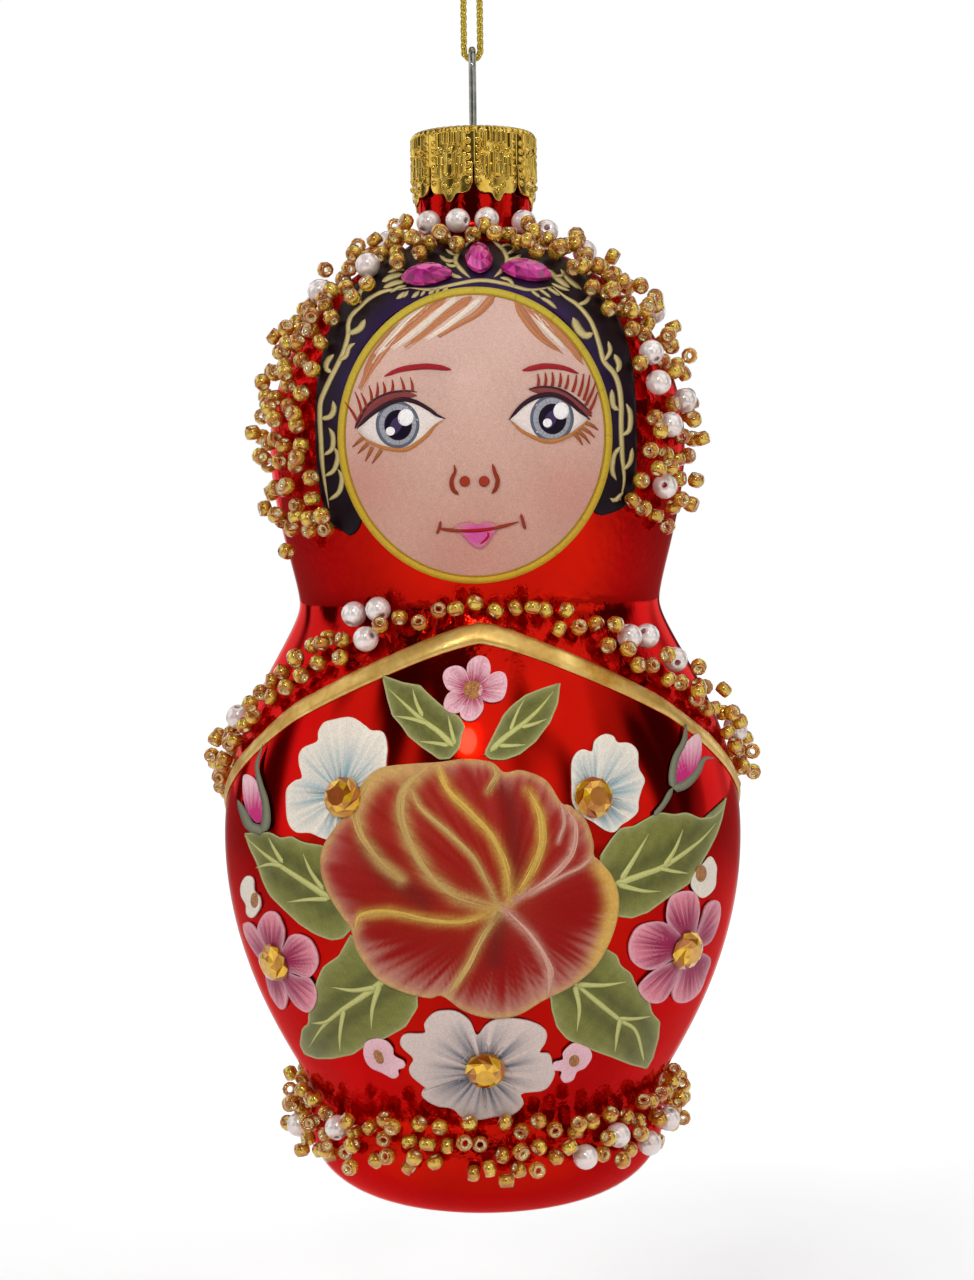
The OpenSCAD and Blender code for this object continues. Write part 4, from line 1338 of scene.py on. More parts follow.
# leaves: their edges, then their ribs with the widths along them
leafPrint = inks({
    "green": (122, 122, 60), "deep": (88, 88, 46), "edge": (176, 174, 118), "rib": (196, 194, 120),
})
leafSizes = {
    "spineShade": (11, 9),                    # middle and half width of the dark beside the middle rib
    "rimFade": 4.2,
    "edgeInset": 0.985,
    "edgeLine": 1.7,
    "ribShadow": 1.25,
}
leafEdges = {
    "leaf_top_left": [
        (382.7, 675.9), (402.6, 683), (420.2, 686.2), (429.7, 695.8), (442.5, 707), (460, 718.1),
        (464.8, 726.9), (461.6, 737), (459, 750), (450, 759), (440, 759.6), (421.7, 747), (409, 736.5),
        (402, 726), (393, 716), (388.3, 700.6),
    ],
    "leaf_top_right": [
        (559.7, 683.4), (557.3, 703.8), (549.3, 722.9), (534.9, 742), (519, 754.8), (503.1, 760.4),
        (490.3, 759.5), (484, 755), (490.3, 742), (496.7, 729.3), (503.1, 716.5), (511, 707),
        (525.4, 695.8), (541.3, 689.4),
    ],
    "leaf_mid_left": [
        (245.7, 833.1), (269.8, 832), (281.2, 837.7), (292.7, 836.6), (304.2, 842.3), (326, 846),
        (342, 875), (353, 928), (344, 938), (333, 940), (316.8, 934.2), (300.8, 923.8), (284.7, 908.9),
        (270.9, 895.1), (264, 881.4), (257.1, 860.7), (250.3, 846.9),
    ],
    "leaf_mid_right": [
        (725.5, 797.5), (722.1, 807.9), (712.9, 817), (699.1, 818.2), (685.4, 812.4), (673.9, 814.7),
        (659, 812.4), (648.7, 817), (632.6, 826.2), (618.8, 828.5), (609.7, 840), (599.3, 856),
        (600, 885), (608, 908), (617.7, 916.5), (630.3, 918), (646.4, 912.3), (667, 897.3),
        (687.7, 883.6), (699.1, 865.2), (708.3, 849.1), (715.2, 835.4), (720.9, 819.3),
    ],
    "leaf_low_left": [
        (351.3, 934.2), (339.8, 954.8), (323.7, 966.3), (316.8, 982.4), (315.7, 998.4),
        (309.9, 1012.2), (308.8, 1023.7), (303, 1028), (300.8, 1044.4), (305, 1053.5), (316.8, 1058.1),
        (332.9, 1058.1), (353.6, 1053.5), (367.3, 1044.4), (385.7, 1037.5), (406.3, 1026),
        (418.2, 1006.8), (418, 990), (392, 968), (366, 946),
    ],
    "leaf_low_right": [
        (605.1, 947.8), (616.5, 954.7), (618.8, 963.9), (630.3, 973.1), (634.9, 984.5),
        (648.7, 1000.6), (651, 1012.1), (659, 1021.3), (657.8, 1037.3), (652, 1058), (646, 1068),
        (630, 1064), (610, 1056), (585, 1047), (566, 1038), (556, 1026), (551, 1008), (549, 990),
        (560, 968), (584, 952),
    ],
}
leafRibs = {                                  # the middle rib first
    "leaf_top_left": [
        ([(389.1, 689.4), (404.2, 703.8), (421.7, 719.7), (439.3, 732.5), (454, 747)], (2, 5.5)),
        ([(413, 689.4), (417, 703.8), (423.3, 717)], (1.6, 4)),
        ([(394.6, 716.5), (413.8, 719.7), (428, 724)], (1.6, 4)),
        ([(448.1, 715.7), (451.2, 729.3), (455.2, 745)], (1.6, 4)),
        ([(420.2, 742), (436.1, 743.6), (449, 746)], (1.6, 4)),
    ],
    "leaf_top_right": [
        ([(553, 692), (538.1, 710.2), (522.2, 724.5), (503.1, 738.9), (490, 752)], (2, 5.5)),
        ([(546.1, 719.7), (533.4, 724.5), (520.6, 727.7)], (1.6, 4)),
        ([(525.4, 745.2), (509.4, 746), (498.3, 746)], (1.6, 4)),
        ([(524, 700), (517, 713), (510, 731)], (1.4, 3.4)),
    ],
    "leaf_mid_left": [
        ([(246, 836), (264, 852.7), (282.4, 866.4), (305.3, 881.4), (332, 899)], (2, 6)),
        ([(269.8, 837.7), (275.5, 849.2), (284, 863)], (1.6, 4)),
        ([(257.1, 867.6), (270.9, 864.1), (284, 866)], (1.6, 4)),
        ([(304.2, 853.8), (312.2, 872.2), (324.5, 889.5)], (1.6, 4.4)),
        ([(288.1, 902), (307.6, 899.3), (330, 898.6)], (1.6, 4.4)),
    ],
    "leaf_mid_right": [
        ([(715.2, 822.8), (696.9, 842.3), (664.7, 865.2), (641.8, 874.4), (612, 885)], (2, 6)),
        ([(647.5, 834.2), (634.9, 856), (620, 880)], (1.6, 5)),
        ([(681.9, 829.6), (673.9, 849.1), (663, 866)], (1.6, 4)),
        ([(687.7, 873.2), (671.6, 870.9), (657.8, 867.6)], (1.6, 4)),
        ([(660.1, 890.9), (641.8, 890.5), (616, 884)], (1.6, 5)),
    ],
    "leaf_low_left": [
        ([(309.9, 1046.7), (323.7, 1026), (342.1, 1009.9), (362.7, 996.1), (386, 979)], (2, 6.5)),
        ([(332.9, 986.5), (353.6, 989.7), (376, 987)], (1.6, 5)),
        ([(312.2, 1022.6), (326, 1021.4), (336, 1015)], (1.6, 4)),
        ([(340.9, 1051.2), (340.9, 1032.9), (344.4, 1009)], (1.6, 4.4)),
        ([(371.9, 1028.3), (373.1, 1007.6), (380, 984)], (1.6, 5.5)),
    ],
    "leaf_low_right": [
        ([(570, 979), (595.9, 1000.6), (618.8, 1019), (634.9, 1030.4), (642.9, 1060)], (6, 2)),
        ([(625.7, 981.1), (602.8, 984.5), (576, 984)], (1.6, 5)),
        ([(576.4, 1030.4), (578.7, 1007.5), (574, 984)], (1.6, 5)),
        ([(649.8, 1015.5), (634.9, 1017.8), (617, 1018)], (1.6, 4)),
        ([(614.2, 1051.1), (616.5, 1032.7), (619.5, 1018)], (1.6, 4.4)),
    ],
}


def makeLeaf(node, corners, ribs, seed):
    p = leafPrint
    s = leafSizes
    beside, wide = s["spineShade"]
    edge = closedEdge(corners, 3.0, True)
    centre = edge.mean(axis=0)
    midrib = np.asarray(ribs[0][0])

    def colours(pixels):
        rim = gapToLine(pixels, looped(edge, 3))
        spine = gapToLine(pixels, midrib)
        paint = wash(p["green"], pixels)
        paint = blendTo(paint, p["deep"], softSpot(spine - beside, wide) * 0.75)
        paint = blendTo(paint, p["edge"], np.exp(-rim / s["rimFade"]) * 0.62)
        return paint * (1 + 0.1 * grain(pixels, 16, seed) + 0.07 * grain(pixels, 5, seed + 1))[:, None]

    film = newFilm("low")
    layPatch(film, edge, centre, colours, 22)
    inset = centre + (looped(edge) - centre) * s["edgeInset"]
    layStroke(film, inset[::2], s["edgeLine"], p["edge"] * 0.95, (0, 0))
    for line, width in ribs:
        layStroke(film, line, np.asarray(width) * s["ribShadow"], p["rib"] * 0.62, (0.3, 0.06))
        layStroke(film, line, width, p["rib"], (0.35, 0.06), p["rib"] * 1.06)
    finishFilm(film, "printed_" + node, "leaf_print", node)


for number, (node, corners) in enumerate(leafEdges.items()):
    makeLeaf(node, corners, leafRibs[node], 100 + 7 * number)
print("leaves printed")


# rose: petal edges run in from the outline and meet under the middle
rosePrint = {
    "heart": (503, 907),
    "centre": (470, 885),
    "hairs": 230,
    "upper": (900, -90),                      # where a tone starts, and the pixels over which it grows
    "lower": (905, 40),
    "leftDusk": ((380, -50), (905, -60)),
    "rightLip": ((575, 25), (850, 20)),
    "leftLip": ((440, -40), (830, -40)),
    **inks({
        "red": (146, 4, 0), "dusk": (166, 48, 46), "shadow": (92, 8, 12), "tan": (206, 166, 98),
        "gold": (222, 178, 84), "pale": (216, 160, 140),
    }),
    "edge": [
        (439, 763), (408, 765), (382, 769), (365, 783), (354, 805), (335, 831), (325, 848), (323, 868),
        (330, 892), (344, 915), (353, 928), (358.5, 948), (378, 976), (404, 990), (430, 996), (443, 994),
        (465, 1009), (491, 1016), (517, 1013), (543, 998), (569, 985), (593, 965.5), (610, 935),
        (617, 903), (612, 879), (600, 862), (592, 855), (591.6, 842), (584, 820), (569, 806), (560, 803),
        (545, 781), (521, 771), (504, 773), (491, 763), (465, 760),
    ],
    "folds": [
        ([(372, 779), (362, 796), (358.5, 816), (365, 838), (382, 861), (402, 879)], (13, 10, 8, 4), "tan"),
        ([(430, 767), (408, 786), (402, 812), (410.6, 842), (430, 874), (456, 896),
          (495, 908)], (15, 11, 9, 4), "tan"),
        ([(413, 790), (421, 808), (447, 831), (473.5, 857), (489, 885), (498, 906)], (5, 7, 6, 4), "tan"),
        ([(439, 765), (448, 790), (473.5, 816), (493, 838), (506, 870), (509, 902)], (8, 9, 8, 5), "gold"),
        ([(528, 791), (539, 814), (541, 842), (532, 868), (519, 892)], (4, 11, 10, 4), "gold"),
        ([(565, 808), (574, 827), (569, 855), (545, 881), (512, 901)], (5, 6, 5, 3), "pale"),
        ([(357, 928), (363, 914), (391, 911), (430, 919), (463, 920), (497, 909)], (10, 8, 7, 3), "gold"),
        ([(449, 993), (469, 963), (482, 935), (498, 910)], (11, 9, 5, 2), "tan"),
        ([(547, 995), (548, 965.5), (531, 935), (505, 909)], (9, 9, 6, 3), "pale"),
        ([(491, 764), (497, 775), (492, 785), (488, 792)], (8, 5, 2), "tan"),
        ([(560, 804), (563, 822), (557, 842)], (3, 4, 2), "pale"),
        ([(592, 854), (580, 866), (560, 876), (530, 893)], (6, 4, 3, 2), "pale"),
    ],
    "darks": [
        [(506, 792), (512, 820), (514, 850), (513, 885)],
        [(500, 915), (496, 935), (494, 958)],
        [(370, 850), (392, 876), (425, 900)],
    ],
}


def roseColours(pixels):
    r = rosePrint
    x, y = pixels[:, 0], pixels[:, 1]

    def corner(name):
        across, down = r[name]
        return rise(x, *across) * rise(y, *down)

    heart = np.array(r["heart"])
    turn = np.arctan2(y - heart[1], x - heart[0])
    far = lengths(pixels - heart)
    rim = gapToLine(pixels, looped(r["edge"]))
    fibre = np.sin(turn * 47 + 4 * np.sin(turn * 6) + 0.03 * far)
    paint = wash(r["red"], pixels)
    upper = rise(y, *r["upper"])
    paint = blendTo(paint, r["dusk"], upper * 0.48 * (0.8 + 0.3 * fibre))
    paint = blendTo(paint, r["dusk"], corner("leftDusk") * 0.7)
    for line in r["darks"]:
        paint = blendTo(paint, r["shadow"], softSpot(gapToLine(pixels, line), 11) * 0.6)
    hairs = looped(np.random.default_rng(44).uniform(0, 1, r["hairs"]))
    hair = np.interp((turn / (2 * math.pi) % 1) * r["hairs"], np.arange(r["hairs"] + 1), hairs)
    dry = 0.55 + 0.6 * hair + 0.12 * grain(pixels, 4, 43)     # a dry brush leaves gaps between its hairs
    for line, width, tone in r["folds"]:
        near = gapToLine(pixels, line)
        soft = 0.78 * np.mean(width)
        stroke = softSpot(near, soft) * 0.85 + np.exp(-near / (2 * soft)) * 0.05
        paint = blendTo(paint, r[tone] * 0.82, unit(stroke * dry))
    lower = rise(y, *r["lower"])
    reach = 4 + 6 * hair + lower * (1 + 8 * hair)
    feather = softSpot(rim, 1.5 * reach) * (0.45 + 0.2 * lower) * (0.7 + 0.5 * hair)
    paint = blendTo(paint, r["pale"] * 0.86, feather)
    paint = blendTo(paint, r["tan"], softSpot(rim, 5) * unit(0.75 * dry))
    paint = blendTo(paint, r["gold"] * 0.95, softSpot(rim - 5, 9) * corner("rightLip") * 0.85)
    paint = blendTo(paint, r["tan"], softSpot(rim - 6, 10) * corner("leftLip") * 0.8)
    return paint * (1 + 0.025 * fibre * unit(far / 60) + 0.07 * grain(pixels, 7, 41))[:, None]


def makeRose():
    r = rosePrint
    film = newFilm("high")
    layPatch(film, closedEdge(r["edge"], 3.4), r["centre"], roseColours, 64)
    for line, width, tone in r["folds"]:
        width = floats(width)
        layStroke(film, line, width * 0.62, r[tone] * 0.94, (0.2, 0.4), r[tone] * 0.8)
        path = evenLine(line, 4)
        for k in range(7):                    # dry brush hairs along each fold
            start = int(chance.integers(0, max(1, len(path) - 8)))
            end = min(len(path), start + int(chance.integers(6, 16)))
            off = chance.uniform(-0.5, 0.5) * width.mean()
            hair = path[start:end] + np.array([off, off * 0.4])
            if len(hair) > 3:
                layStroke(film, hair, 1.2, r[tone] * chance.uniform(0.7, 1.15), (0.4, 0.5))
    finishFilm(film, "printedRose", "rose_print", "rose")


makeRose()
print("rose printed")


# flowers
flowerPrint = inks({
    "white": (242, 231, 214), "blush": (218, 197, 188), "whiteShade": (206, 194, 190),
    "teal": (118, 162, 176), "slate": (46, 68, 92), "pink": (226, 134, 148),
    "pinkPale": (244, 196, 204), "wine": (146, 8, 72), "brown": (172, 118, 72),
    "sepal": (122, 122, 100), "bud": (198, 44, 118),
})
whiteFlowers = {
    "white_flower_left": {
        "heart": (343, 795),
        "ink": "teal",
        "ground": "white",
        "edge": [
            (333, 721), (352, 718), (366, 726), (372, 731), (384, 733), (388, 748), (387, 765), (390, 790),
            (380, 812), (356, 832), (335, 840), (324, 838), (312, 833), (298, 832), (290, 822), (288, 803),
            (289, 789), (297, 781), (304, 778), (301, 765), (301, 755), (306, 748), (319, 742), (320, 733),
            (325, 724),
        ],
    },
    "white_flower_right": {
        "heart": (594, 796),
        "ink": "teal",
        "ground": "white",
        "edge": [
            (571, 764), (575, 754), (582, 750), (591, 752), (594, 741), (603, 735), (612, 737), (616, 743),
            (628, 744), (636, 752), (637, 768), (643, 780), (640, 790), (637, 801), (636, 812), (628, 820),
            (620, 825), (613, 832), (604, 830), (592, 822), (580, 815), (572, 803), (571, 785),
        ],
    },
    "white_flower_low": {
        "heart": (483, 1070),
        "ink": "slate",
        "ground": "blush",
        "edge": [
            (425, 1032), (425, 1022), (434, 1012), (446, 1009.5), (458, 1011), (470, 1020), (477, 1034),
            (486, 1024), (498, 1017), (512, 1017), (532, 1021), (545, 1029), (545, 1040), (539, 1051),
            (549, 1053), (552, 1064), (554, 1072), (549, 1083), (541, 1089), (521, 1092), (523, 1102),
            (512, 1113), (495, 1115), (478, 1118), (462, 1115), (453, 1107), (437, 1104), (424, 1096),
            (423, 1089), (427, 1087), (413, 1075), (410, 1066), (414, 1057), (404, 1047), (401, 1040),
            (406, 1033),
        ],
    },
}
pinkFlowers = {
    "pink_flower_left": {
        "heart": (274.4, 963),
        "tone": "pink",
        "petals": [
            [(267.5, 912.3), (277.8, 912.3), (285.1, 926.1), (285.8, 938.8), (280, 960), (272, 962),
             (262.9, 938.8), (259.9, 926)],
            [(280, 956), (286, 945), (291.6, 935.3), (300.8, 933.7), (312.2, 939.9), (319.1, 954.8),
             (318, 967.4), (309.9, 976.6), (298.5, 973.2), (280, 966)],
            [(281, 967), (298.5, 975), (311.1, 977), (318, 989.3), (316.8, 1003), (309.9, 1011.1),
             (298.5, 1005.3), (290.4, 993.8), (279, 973)],
            [(278, 968), (286, 980.1), (289.3, 993.8), (287, 1006.5), (282.4, 1007.6), (276.7, 1000.7),
             (270.9, 989.3), (268, 970)],
            [(246.1, 922.7), (252.5, 922.7), (261.7, 934.2), (270, 948), (272, 962), (262, 958),
             (250.3, 941), (246, 929.6)],
        ],
    },
    "pink_flower_right": {
        "heart": (687.7, 948),
        "tone": "pink",
        "petals": [
            [(667, 925), (664.7, 911.1), (669.3, 896.2), (681.9, 890.5), (693.4, 892.7), (697.5, 906.5),
             (695.7, 922), (690, 944), (682, 944)],
            [(699.1, 920.3), (703.7, 906.5), (710.6, 900.1), (717, 901.9), (718.2, 913.4), (714.1, 929.5),
             (706, 943), (692, 946), (693, 936)],
            [(664.7, 922.6), (651, 921.4), (636, 927.2), (628, 943.2), (630.3, 959.3), (641.8, 968),
             (655.6, 967.3), (670, 959), (684, 950), (680, 936)],
            [(668.2, 961.6), (653.3, 968.5), (639.5, 981.1), (637.2, 989.1), (646.4, 1000.6),
             (660.1, 1000.6), (669.3, 989.1), (676, 973), (685, 953)],
            [(678.5, 966), (673.9, 980), (670.5, 991.4), (673.9, 1000.6), (685.4, 1000.6), (696.9, 991.4),
             (703.7, 975.4), (707.9, 957), (692, 950), (685, 953)],
        ],
    },
    "pink_flower_top": {
        "heart": (473, 691),
        "tone": "pinkPale",
        "petals": [
            [(467.2, 667), (476, 657.5), (485.5, 658.3), (490.3, 666.3), (488.7, 678), (478, 690),
             (470, 688)],
            [(443.3, 679.9), (445.7, 671.1), (455.2, 666.8), (464, 669.5), (470, 680), (472, 690),
             (458.4, 693), (448, 690)],
            [(448.9, 694), (444.1, 705.4), (447.3, 711.7), (456.8, 714.1), (466, 708), (472, 694),
             (461.6, 690)],
            [(460, 714), (466.4, 721.3), (476, 719.7), (483, 710.2), (482.3, 700), (475, 692), (466, 700)],
            [(478, 692), (484, 701), (493.5, 703), (503, 699), (507, 686.2), (504.7, 675.1),
             (496.7, 672.7), (486, 679)],
        ],
    },
}
sprigs = {
    "pink_sprig_left": ("pink_print", "pinkPale", (380, 1055), (4.2, 7.5, -0.5), [
        (368, 1040), (378, 1037), (388, 1040), (394, 1047), (395, 1054), (404.7, 1059.7), (405.5, 1065.5),
        (399, 1068), (399.7, 1073.7), (393.9, 1076.6), (383, 1071), (371.5, 1065.5), (365.7, 1056),
        (365, 1046),
    ]),
    "pink_sprig_right": ("pink_print", "pinkPale", (573, 1059), (5, 6, 0.4), [
        (562.2, 1051), (572, 1042), (582, 1044), (588.8, 1048), (590.4, 1056), (584, 1066), (576, 1070),
        (572, 1078), (564, 1081), (559.7, 1076), (560.6, 1069.6), (552.3, 1068), (553, 1061), (562, 1058),
    ]),
    "white_sprig_left": ("white_print", "white", (257, 899.7), (3.8, 7.6, 0.0), [
        (243.4, 884), (249, 875.6), (254.8, 879), (256, 890.5), (261.3, 897), (262, 906.6), (255, 917),
        (249, 913.5), (248, 904), (243.4, 895),
    ]),
    "white_sprig_right": ("white_print", "white", (698.7, 873.2), (5.4, 8.4, 0.1), [
        (708.3, 856), (714, 865), (714, 874.4), (712, 888), (701.4, 897.3), (693.4, 892.7), (689, 883.6),
        (693.4, 872), (701.4, 863),
    ]),
}
buds = {
    "bud_left": {
        "petal": [
            (246.1, 775.8), (257, 780.3), (262.9, 801), (265.2, 817), (259.4, 823), (250.3, 812.5),
            (245.7, 796.4),
        ],
        "green": [
            ([(240, 800), (245.7, 812.5), (252.5, 826), (266, 831)], (4, 8, 9)),
            ([(265.2, 744.8), (259.4, 766.6), (262.9, 785), (267.5, 801), (268.6, 819.4),
              (265, 832)], (2.5, 4, 6, 9)),
        ],
    },
    "bud_right": {
        "petal": [
            (684.2, 743.6), (696.9, 734.4), (699.1, 755), (692.3, 773.4), (680.8, 784), (673.9, 780.3),
            (675, 766.5), (679.6, 752.8),
        ],
        "green": [
            ([(684.2, 722), (682, 741.3), (674, 757.4), (670.5, 773.4), (671, 788)], (2.5, 5, 6, 7)),
            ([(711.8, 758.5), (701.4, 760), (694.6, 773.4), (683, 785), (671, 789)], (3, 5, 7, 8)),
            ([(670.5, 788), (662.4, 803.3), (652, 816)], (5, 4)),
        ],
    },
}


flowerSizes = {
    "whiteStrokes": 70,
    "whiteFrom": 14,
    "whiteReach": (20, 40),
    "whiteInk": (1.65, 36),
    "pinkInk": (2.1, 2.3),
    "eyeRadius": (9.4, 9.6),
    "eyeDots": 60,
    "eyeDotReach": 8.5,
    "eyeRays": 40,
    "eyeRayFrom": 9.5,
    "eyeRayReach": (14, 20),
    "sprigDots": 24,
}


def rays(pixels, heart, seed, count=40):
    turn = np.arctan2(pixels[:, 1] - heart[1], pixels[:, 0] - heart[0])
    phase = np.random.default_rng(seed).uniform(0, 6.28, 5)
    value = 0.45 * np.sin(turn * count + phase[0] + 2 * np.sin(turn * 5 + phase[1]))
    return value + 0.35 * np.sin(turn * (count * 2 + 7) + phase[2]) + 0.3 * np.sin(turn * 13 + phase[3])


def spoke(heart, angle, reach):
    return heart + reach * np.array([math.cos(angle), math.sin(angle)])


def isInside(point, edge):
    after = np.roll(edge, -1, axis=0)
    crosses = (edge[:, 1] > point[1]) != (after[:, 1] > point[1])
    rise = np.where(crosses, after[:, 1] - edge[:, 1], 1.0)
    meet = edge[:, 0] + (point[1] - edge[:, 1]) * (after[:, 0] - edge[:, 0]) / rise
    return np.count_nonzero(crosses & (point[0] < meet)) % 2 == 1


def filmBase(edge):                           # a print lies on the glass, unless a leaf is under it
    for corners in leafEdges.values():
        under = floats(corners)
        if any(isInside(p, under) for p in edge) or any(isInside(p, edge) for p in under):
            return filmSizes["middle"][0]
    return filmSizes["low"][0]


def makeWhiteFlower(node, flower, seed):
    p = flowerPrint
    heart = np.array(flower["heart"])
    ground = p[flower["ground"]]
    edge = closedEdge(flower["edge"], 2.6)
    rimLine = looped(edge, 2)

    def colours(pixels):
        far = lengths(pixels - heart)
        line = rays(pixels, heart, seed)
        rim = gapToLine(pixels, rimLine)
        paint = blendTo(wash(ground, pixels), p["whiteShade"] * 0.9, 0.2 + 0.2 * line)
        broad = rays(pixels, heart, seed + 9, 9)
        strong, fade = flowerSizes["whiteInk"]
        ink = unit(strong - far / fade) * unit(0.5 + 0.5 * broad + 0.25 * line)
        paint = blendTo(paint, p[flower["ink"]], ink * 0.95)
        paint = blendTo(paint, ground * 1.04, np.exp(-rim / 4) * 0.7)
        return paint * (1 + 0.03 * grain(pixels, 6, seed))[:, None]

    film = newFilm("middle")
    layPatch(film, edge, flower["heart"], colours, 34, None, filmBase(edge))
    start = flowerSizes["whiteFrom"]
    for k in range(flowerSizes["whiteStrokes"]):          # fine ink strokes out from the heart
        a = chance.uniform(0, 2 * math.pi)
        reach = chance.uniform(*flowerSizes["whiteReach"])
        bend = a + chance.uniform(-0.14, 0.14)
        line = [spoke(heart, a, start), spoke(heart, a, (start + reach) / 1.6), spoke(heart, bend, reach)]
        if math.sin(5 * a + seed) > -0.3 and isInside(line[-1] * 1.1 - heart * 0.1, edge):
            tone = p[flower["ink"]] * chance.uniform(0.6, 1.15)
            layStroke(film, line, 1.5, tone, (0.2, 0.6), ground * 0.8)
    finishFilm(film, "printed_" + node, "white_print", node)


def makePinkFlower(node, flower, seed):
    p = flowerPrint
    s = flowerSizes
    heart = np.array(flower["heart"])
    film = newFilm("middle")
    topFlower = node == "pink_flower_top"
    for number, petal in enumerate(flower["petals"]):
        edge = closedEdge(petal, 2.4)
        middle = edge.mean(axis=0)
        rimLine = looped(edge, 2)
        size = lengths(edge - heart).max()

        def colours(pixels):
            far = lengths(pixels - heart)
            line = rays(pixels, heart, seed + number, 46)
            rim = gapToLine(pixels, rimLine)
            paint = blendTo(wash(p[flower["tone"]], pixels), p["pink"] * 0.85, 0.25 + 0.3 * line)
            strength = 0.45 if topFlower else 0.95
            strong, fade = s["pinkInk"]
            ink = unit(strong - fade * far / size + 0.5 * line)
            paint = blendTo(paint, p["wine"], ink * strength)
            paint = blendTo(paint, p["pinkPale"], np.exp(-rim / 3) * 0.55)
            return paint * (1 + 0.04 * grain(pixels, 6, seed))[:, None]

        lift = film["top"] + 0.004 * number
        layPatch(film, edge, middle, colours, 16, lift if number else None, filmBase(edge))
    if topFlower:
        layOval(film, flower["heart"], *s["eyeRadius"], p["brown"] * 1.1, 0, 3)
        for k in range(s["eyeDots"]):
            a = chance.uniform(0, 2 * math.pi)
            dot = spoke(heart, a, chance.uniform(0, s["eyeDotReach"]))
            layOval(film, dot, 1.0, 1.0, p["brown"] * chance.uniform(0.6, 1.7), 0, 1, 6)
        for k in range(s["eyeRays"]):
            a = k * 2 * math.pi / s["eyeRays"] + chance.uniform(-0.05, 0.05)
            line = [spoke(heart, a, s["eyeRayFrom"]), spoke(heart, a, chance.uniform(*s["eyeRayReach"]))]
            layStroke(film, line, 1.0, p["wine"] * 1.6, (0.1, 0.6), p["pink"])
    finishFilm(film, "printed_" + node, "pink_print", node)


def makeSprig(node, slot, tone, heart, eye, edge, seed):
    p = flowerPrint
    heart = np.array(heart)
    edge = closedEdge(edge, 2.2)

    def colours(pixels):
        line = rays(pixels, heart, seed, 30)
        far = lengths(pixels - heart)
        paint = wash(p[tone], pixels) * (0.95 + 0.06 * line)[:, None]
        ink = p["wine"] if "pink" in node else p["whiteShade"]
        return blendTo(paint, ink, unit(1 - far / 20) * unit(0.3 + 0.5 * line) * 0.7)

    film = newFilm("middle")
    layPatch(film, edge, edge.mean(axis=0), colours, 12, None, filmBase(edge))
    layOval(film, heart, eye[0], eye[1], p["brown"], eye[2], 3, 24)
    for k in range(flowerSizes["sprigDots"]):
        a = chance.uniform(0, 2 * math.pi)
        r = math.sqrt(chance.uniform(0, 1)) * 0.85
        dot = heart + np.array([eye[0] * r * math.cos(a), eye[1] * r * math.sin(a)])
        layOval(film, dot, 0.8, 0.8, p["brown"] * chance.uniform(0.6, 1.5), 0, 1, 6)
    finishFilm(film, "printed_" + node, slot, node)


def makeBud(node, bud, seed):
    p = flowerPrint
    edge = closedEdge(bud["petal"], 2.0)
    low, high = edge[:, 1].max(), edge[:, 1].min()

    def colours(pixels):
        down = rise(pixels[:, 1], high, low - high)
        line = rays(pixels, (edge[:, 0].mean(), low + 12), seed, 60)
        paint = wash(p["pinkPale"], pixels)
        return blendTo(paint, p["bud"], unit(1.7 * down - 0.2 + 0.25 * line))

    film = newFilm("middle")
    layPatch(film, edge, edge.mean(axis=0), colours, 14, None, filmBase(edge))
    for line, width in bud["green"]:
        layStroke(film, line, np.asarray(width) * 1.15, p["sepal"] * 0.8, (0.2, 0.05))
        layStroke(film, line, np.asarray(width) * 0.7, p["sepal"], (0.2, 0.05), p["sepal"] * 1.15)
    finishFilm(film, "printed_" + node, "pink_print", node)


for number, (node, flower) in enumerate(whiteFlowers.items()):
    makeWhiteFlower(node, flower, 200 + number)
for number, (node, flower) in enumerate(pinkFlowers.items()):
    makePinkFlower(node, flower, 230 + 9 * number)
for number, (node, sprig) in enumerate(sprigs.items()):
    makeSprig(node, *sprig, 280 + number)
for number, (node, bud) in enumerate(buds.items()):
    makeBud(node, bud, 300 + number)
print("flowers printed")


# stones: flat facets, each painted lighter or darker at random, a painted stand-in for the light and
# reflections the facets catch
stonePrint = {
    "amberAcross": 4.7,
    "amberHigh": 1.6,
    "amberLift": 0.44,
    "amberSides": 10,
    "amberSteps": ((1, 0), (1, 0.3), (0.78, 0.78), (0.48, 1.0)),
    "navetteLong": 6.2,
    "navetteWide": 3.3,
    "navetteHigh": 1.5,
    "navetteLift": 0.32,
    "navetteSides": 14,
    "navetteSteps": ((1, 0), (1, 0.3), (0.7, 0.82), (0.3, 1.0)),
    "navettePoint": 1.35,
}
amberPlaces = {
    "amber_stone_left": (-29.5, 52.2), "amber_stone_right": (23.2, 52), "amber_stone_side_left": (-52.2, 32),
    "amber_stone_side_right": (48.8, 33.1), "amber_stone_low": (0, 20.9),
}
navettePlaces = {
    "headband_stone_left": (-18.5, 111.6, 4), "headband_stone_middle": (2, 113.6, 90),
    "headband_stone_right": (20.5, 112, -14),
}


def stoneMaterial(name, deep, bright, metal):
    material, tree, shader = newMaterial(name, {
        "Metallic": metal, "Roughness": 0.12, "Coat Weight": 1.0, "Coat Roughness": 0.02,
    })
    # each facet's painted brightness picks its colour between deep and bright: painted light and reflection
    # on the facets
    tone = readMark(tree, "paint")
    ramp = addRamp(tree, tone, deep, bright, 0.05, 0.95)
    noise = addNoise(tree, 1500, 2)
    veil = addRamp(tree, noise, grey(0.8), grey(1.1))
    mixed = mixTones(tree, 1.0, ramp, veil, "MULTIPLY")
    feed(tree, shader.inputs["Base Color"], mixed)
    return material


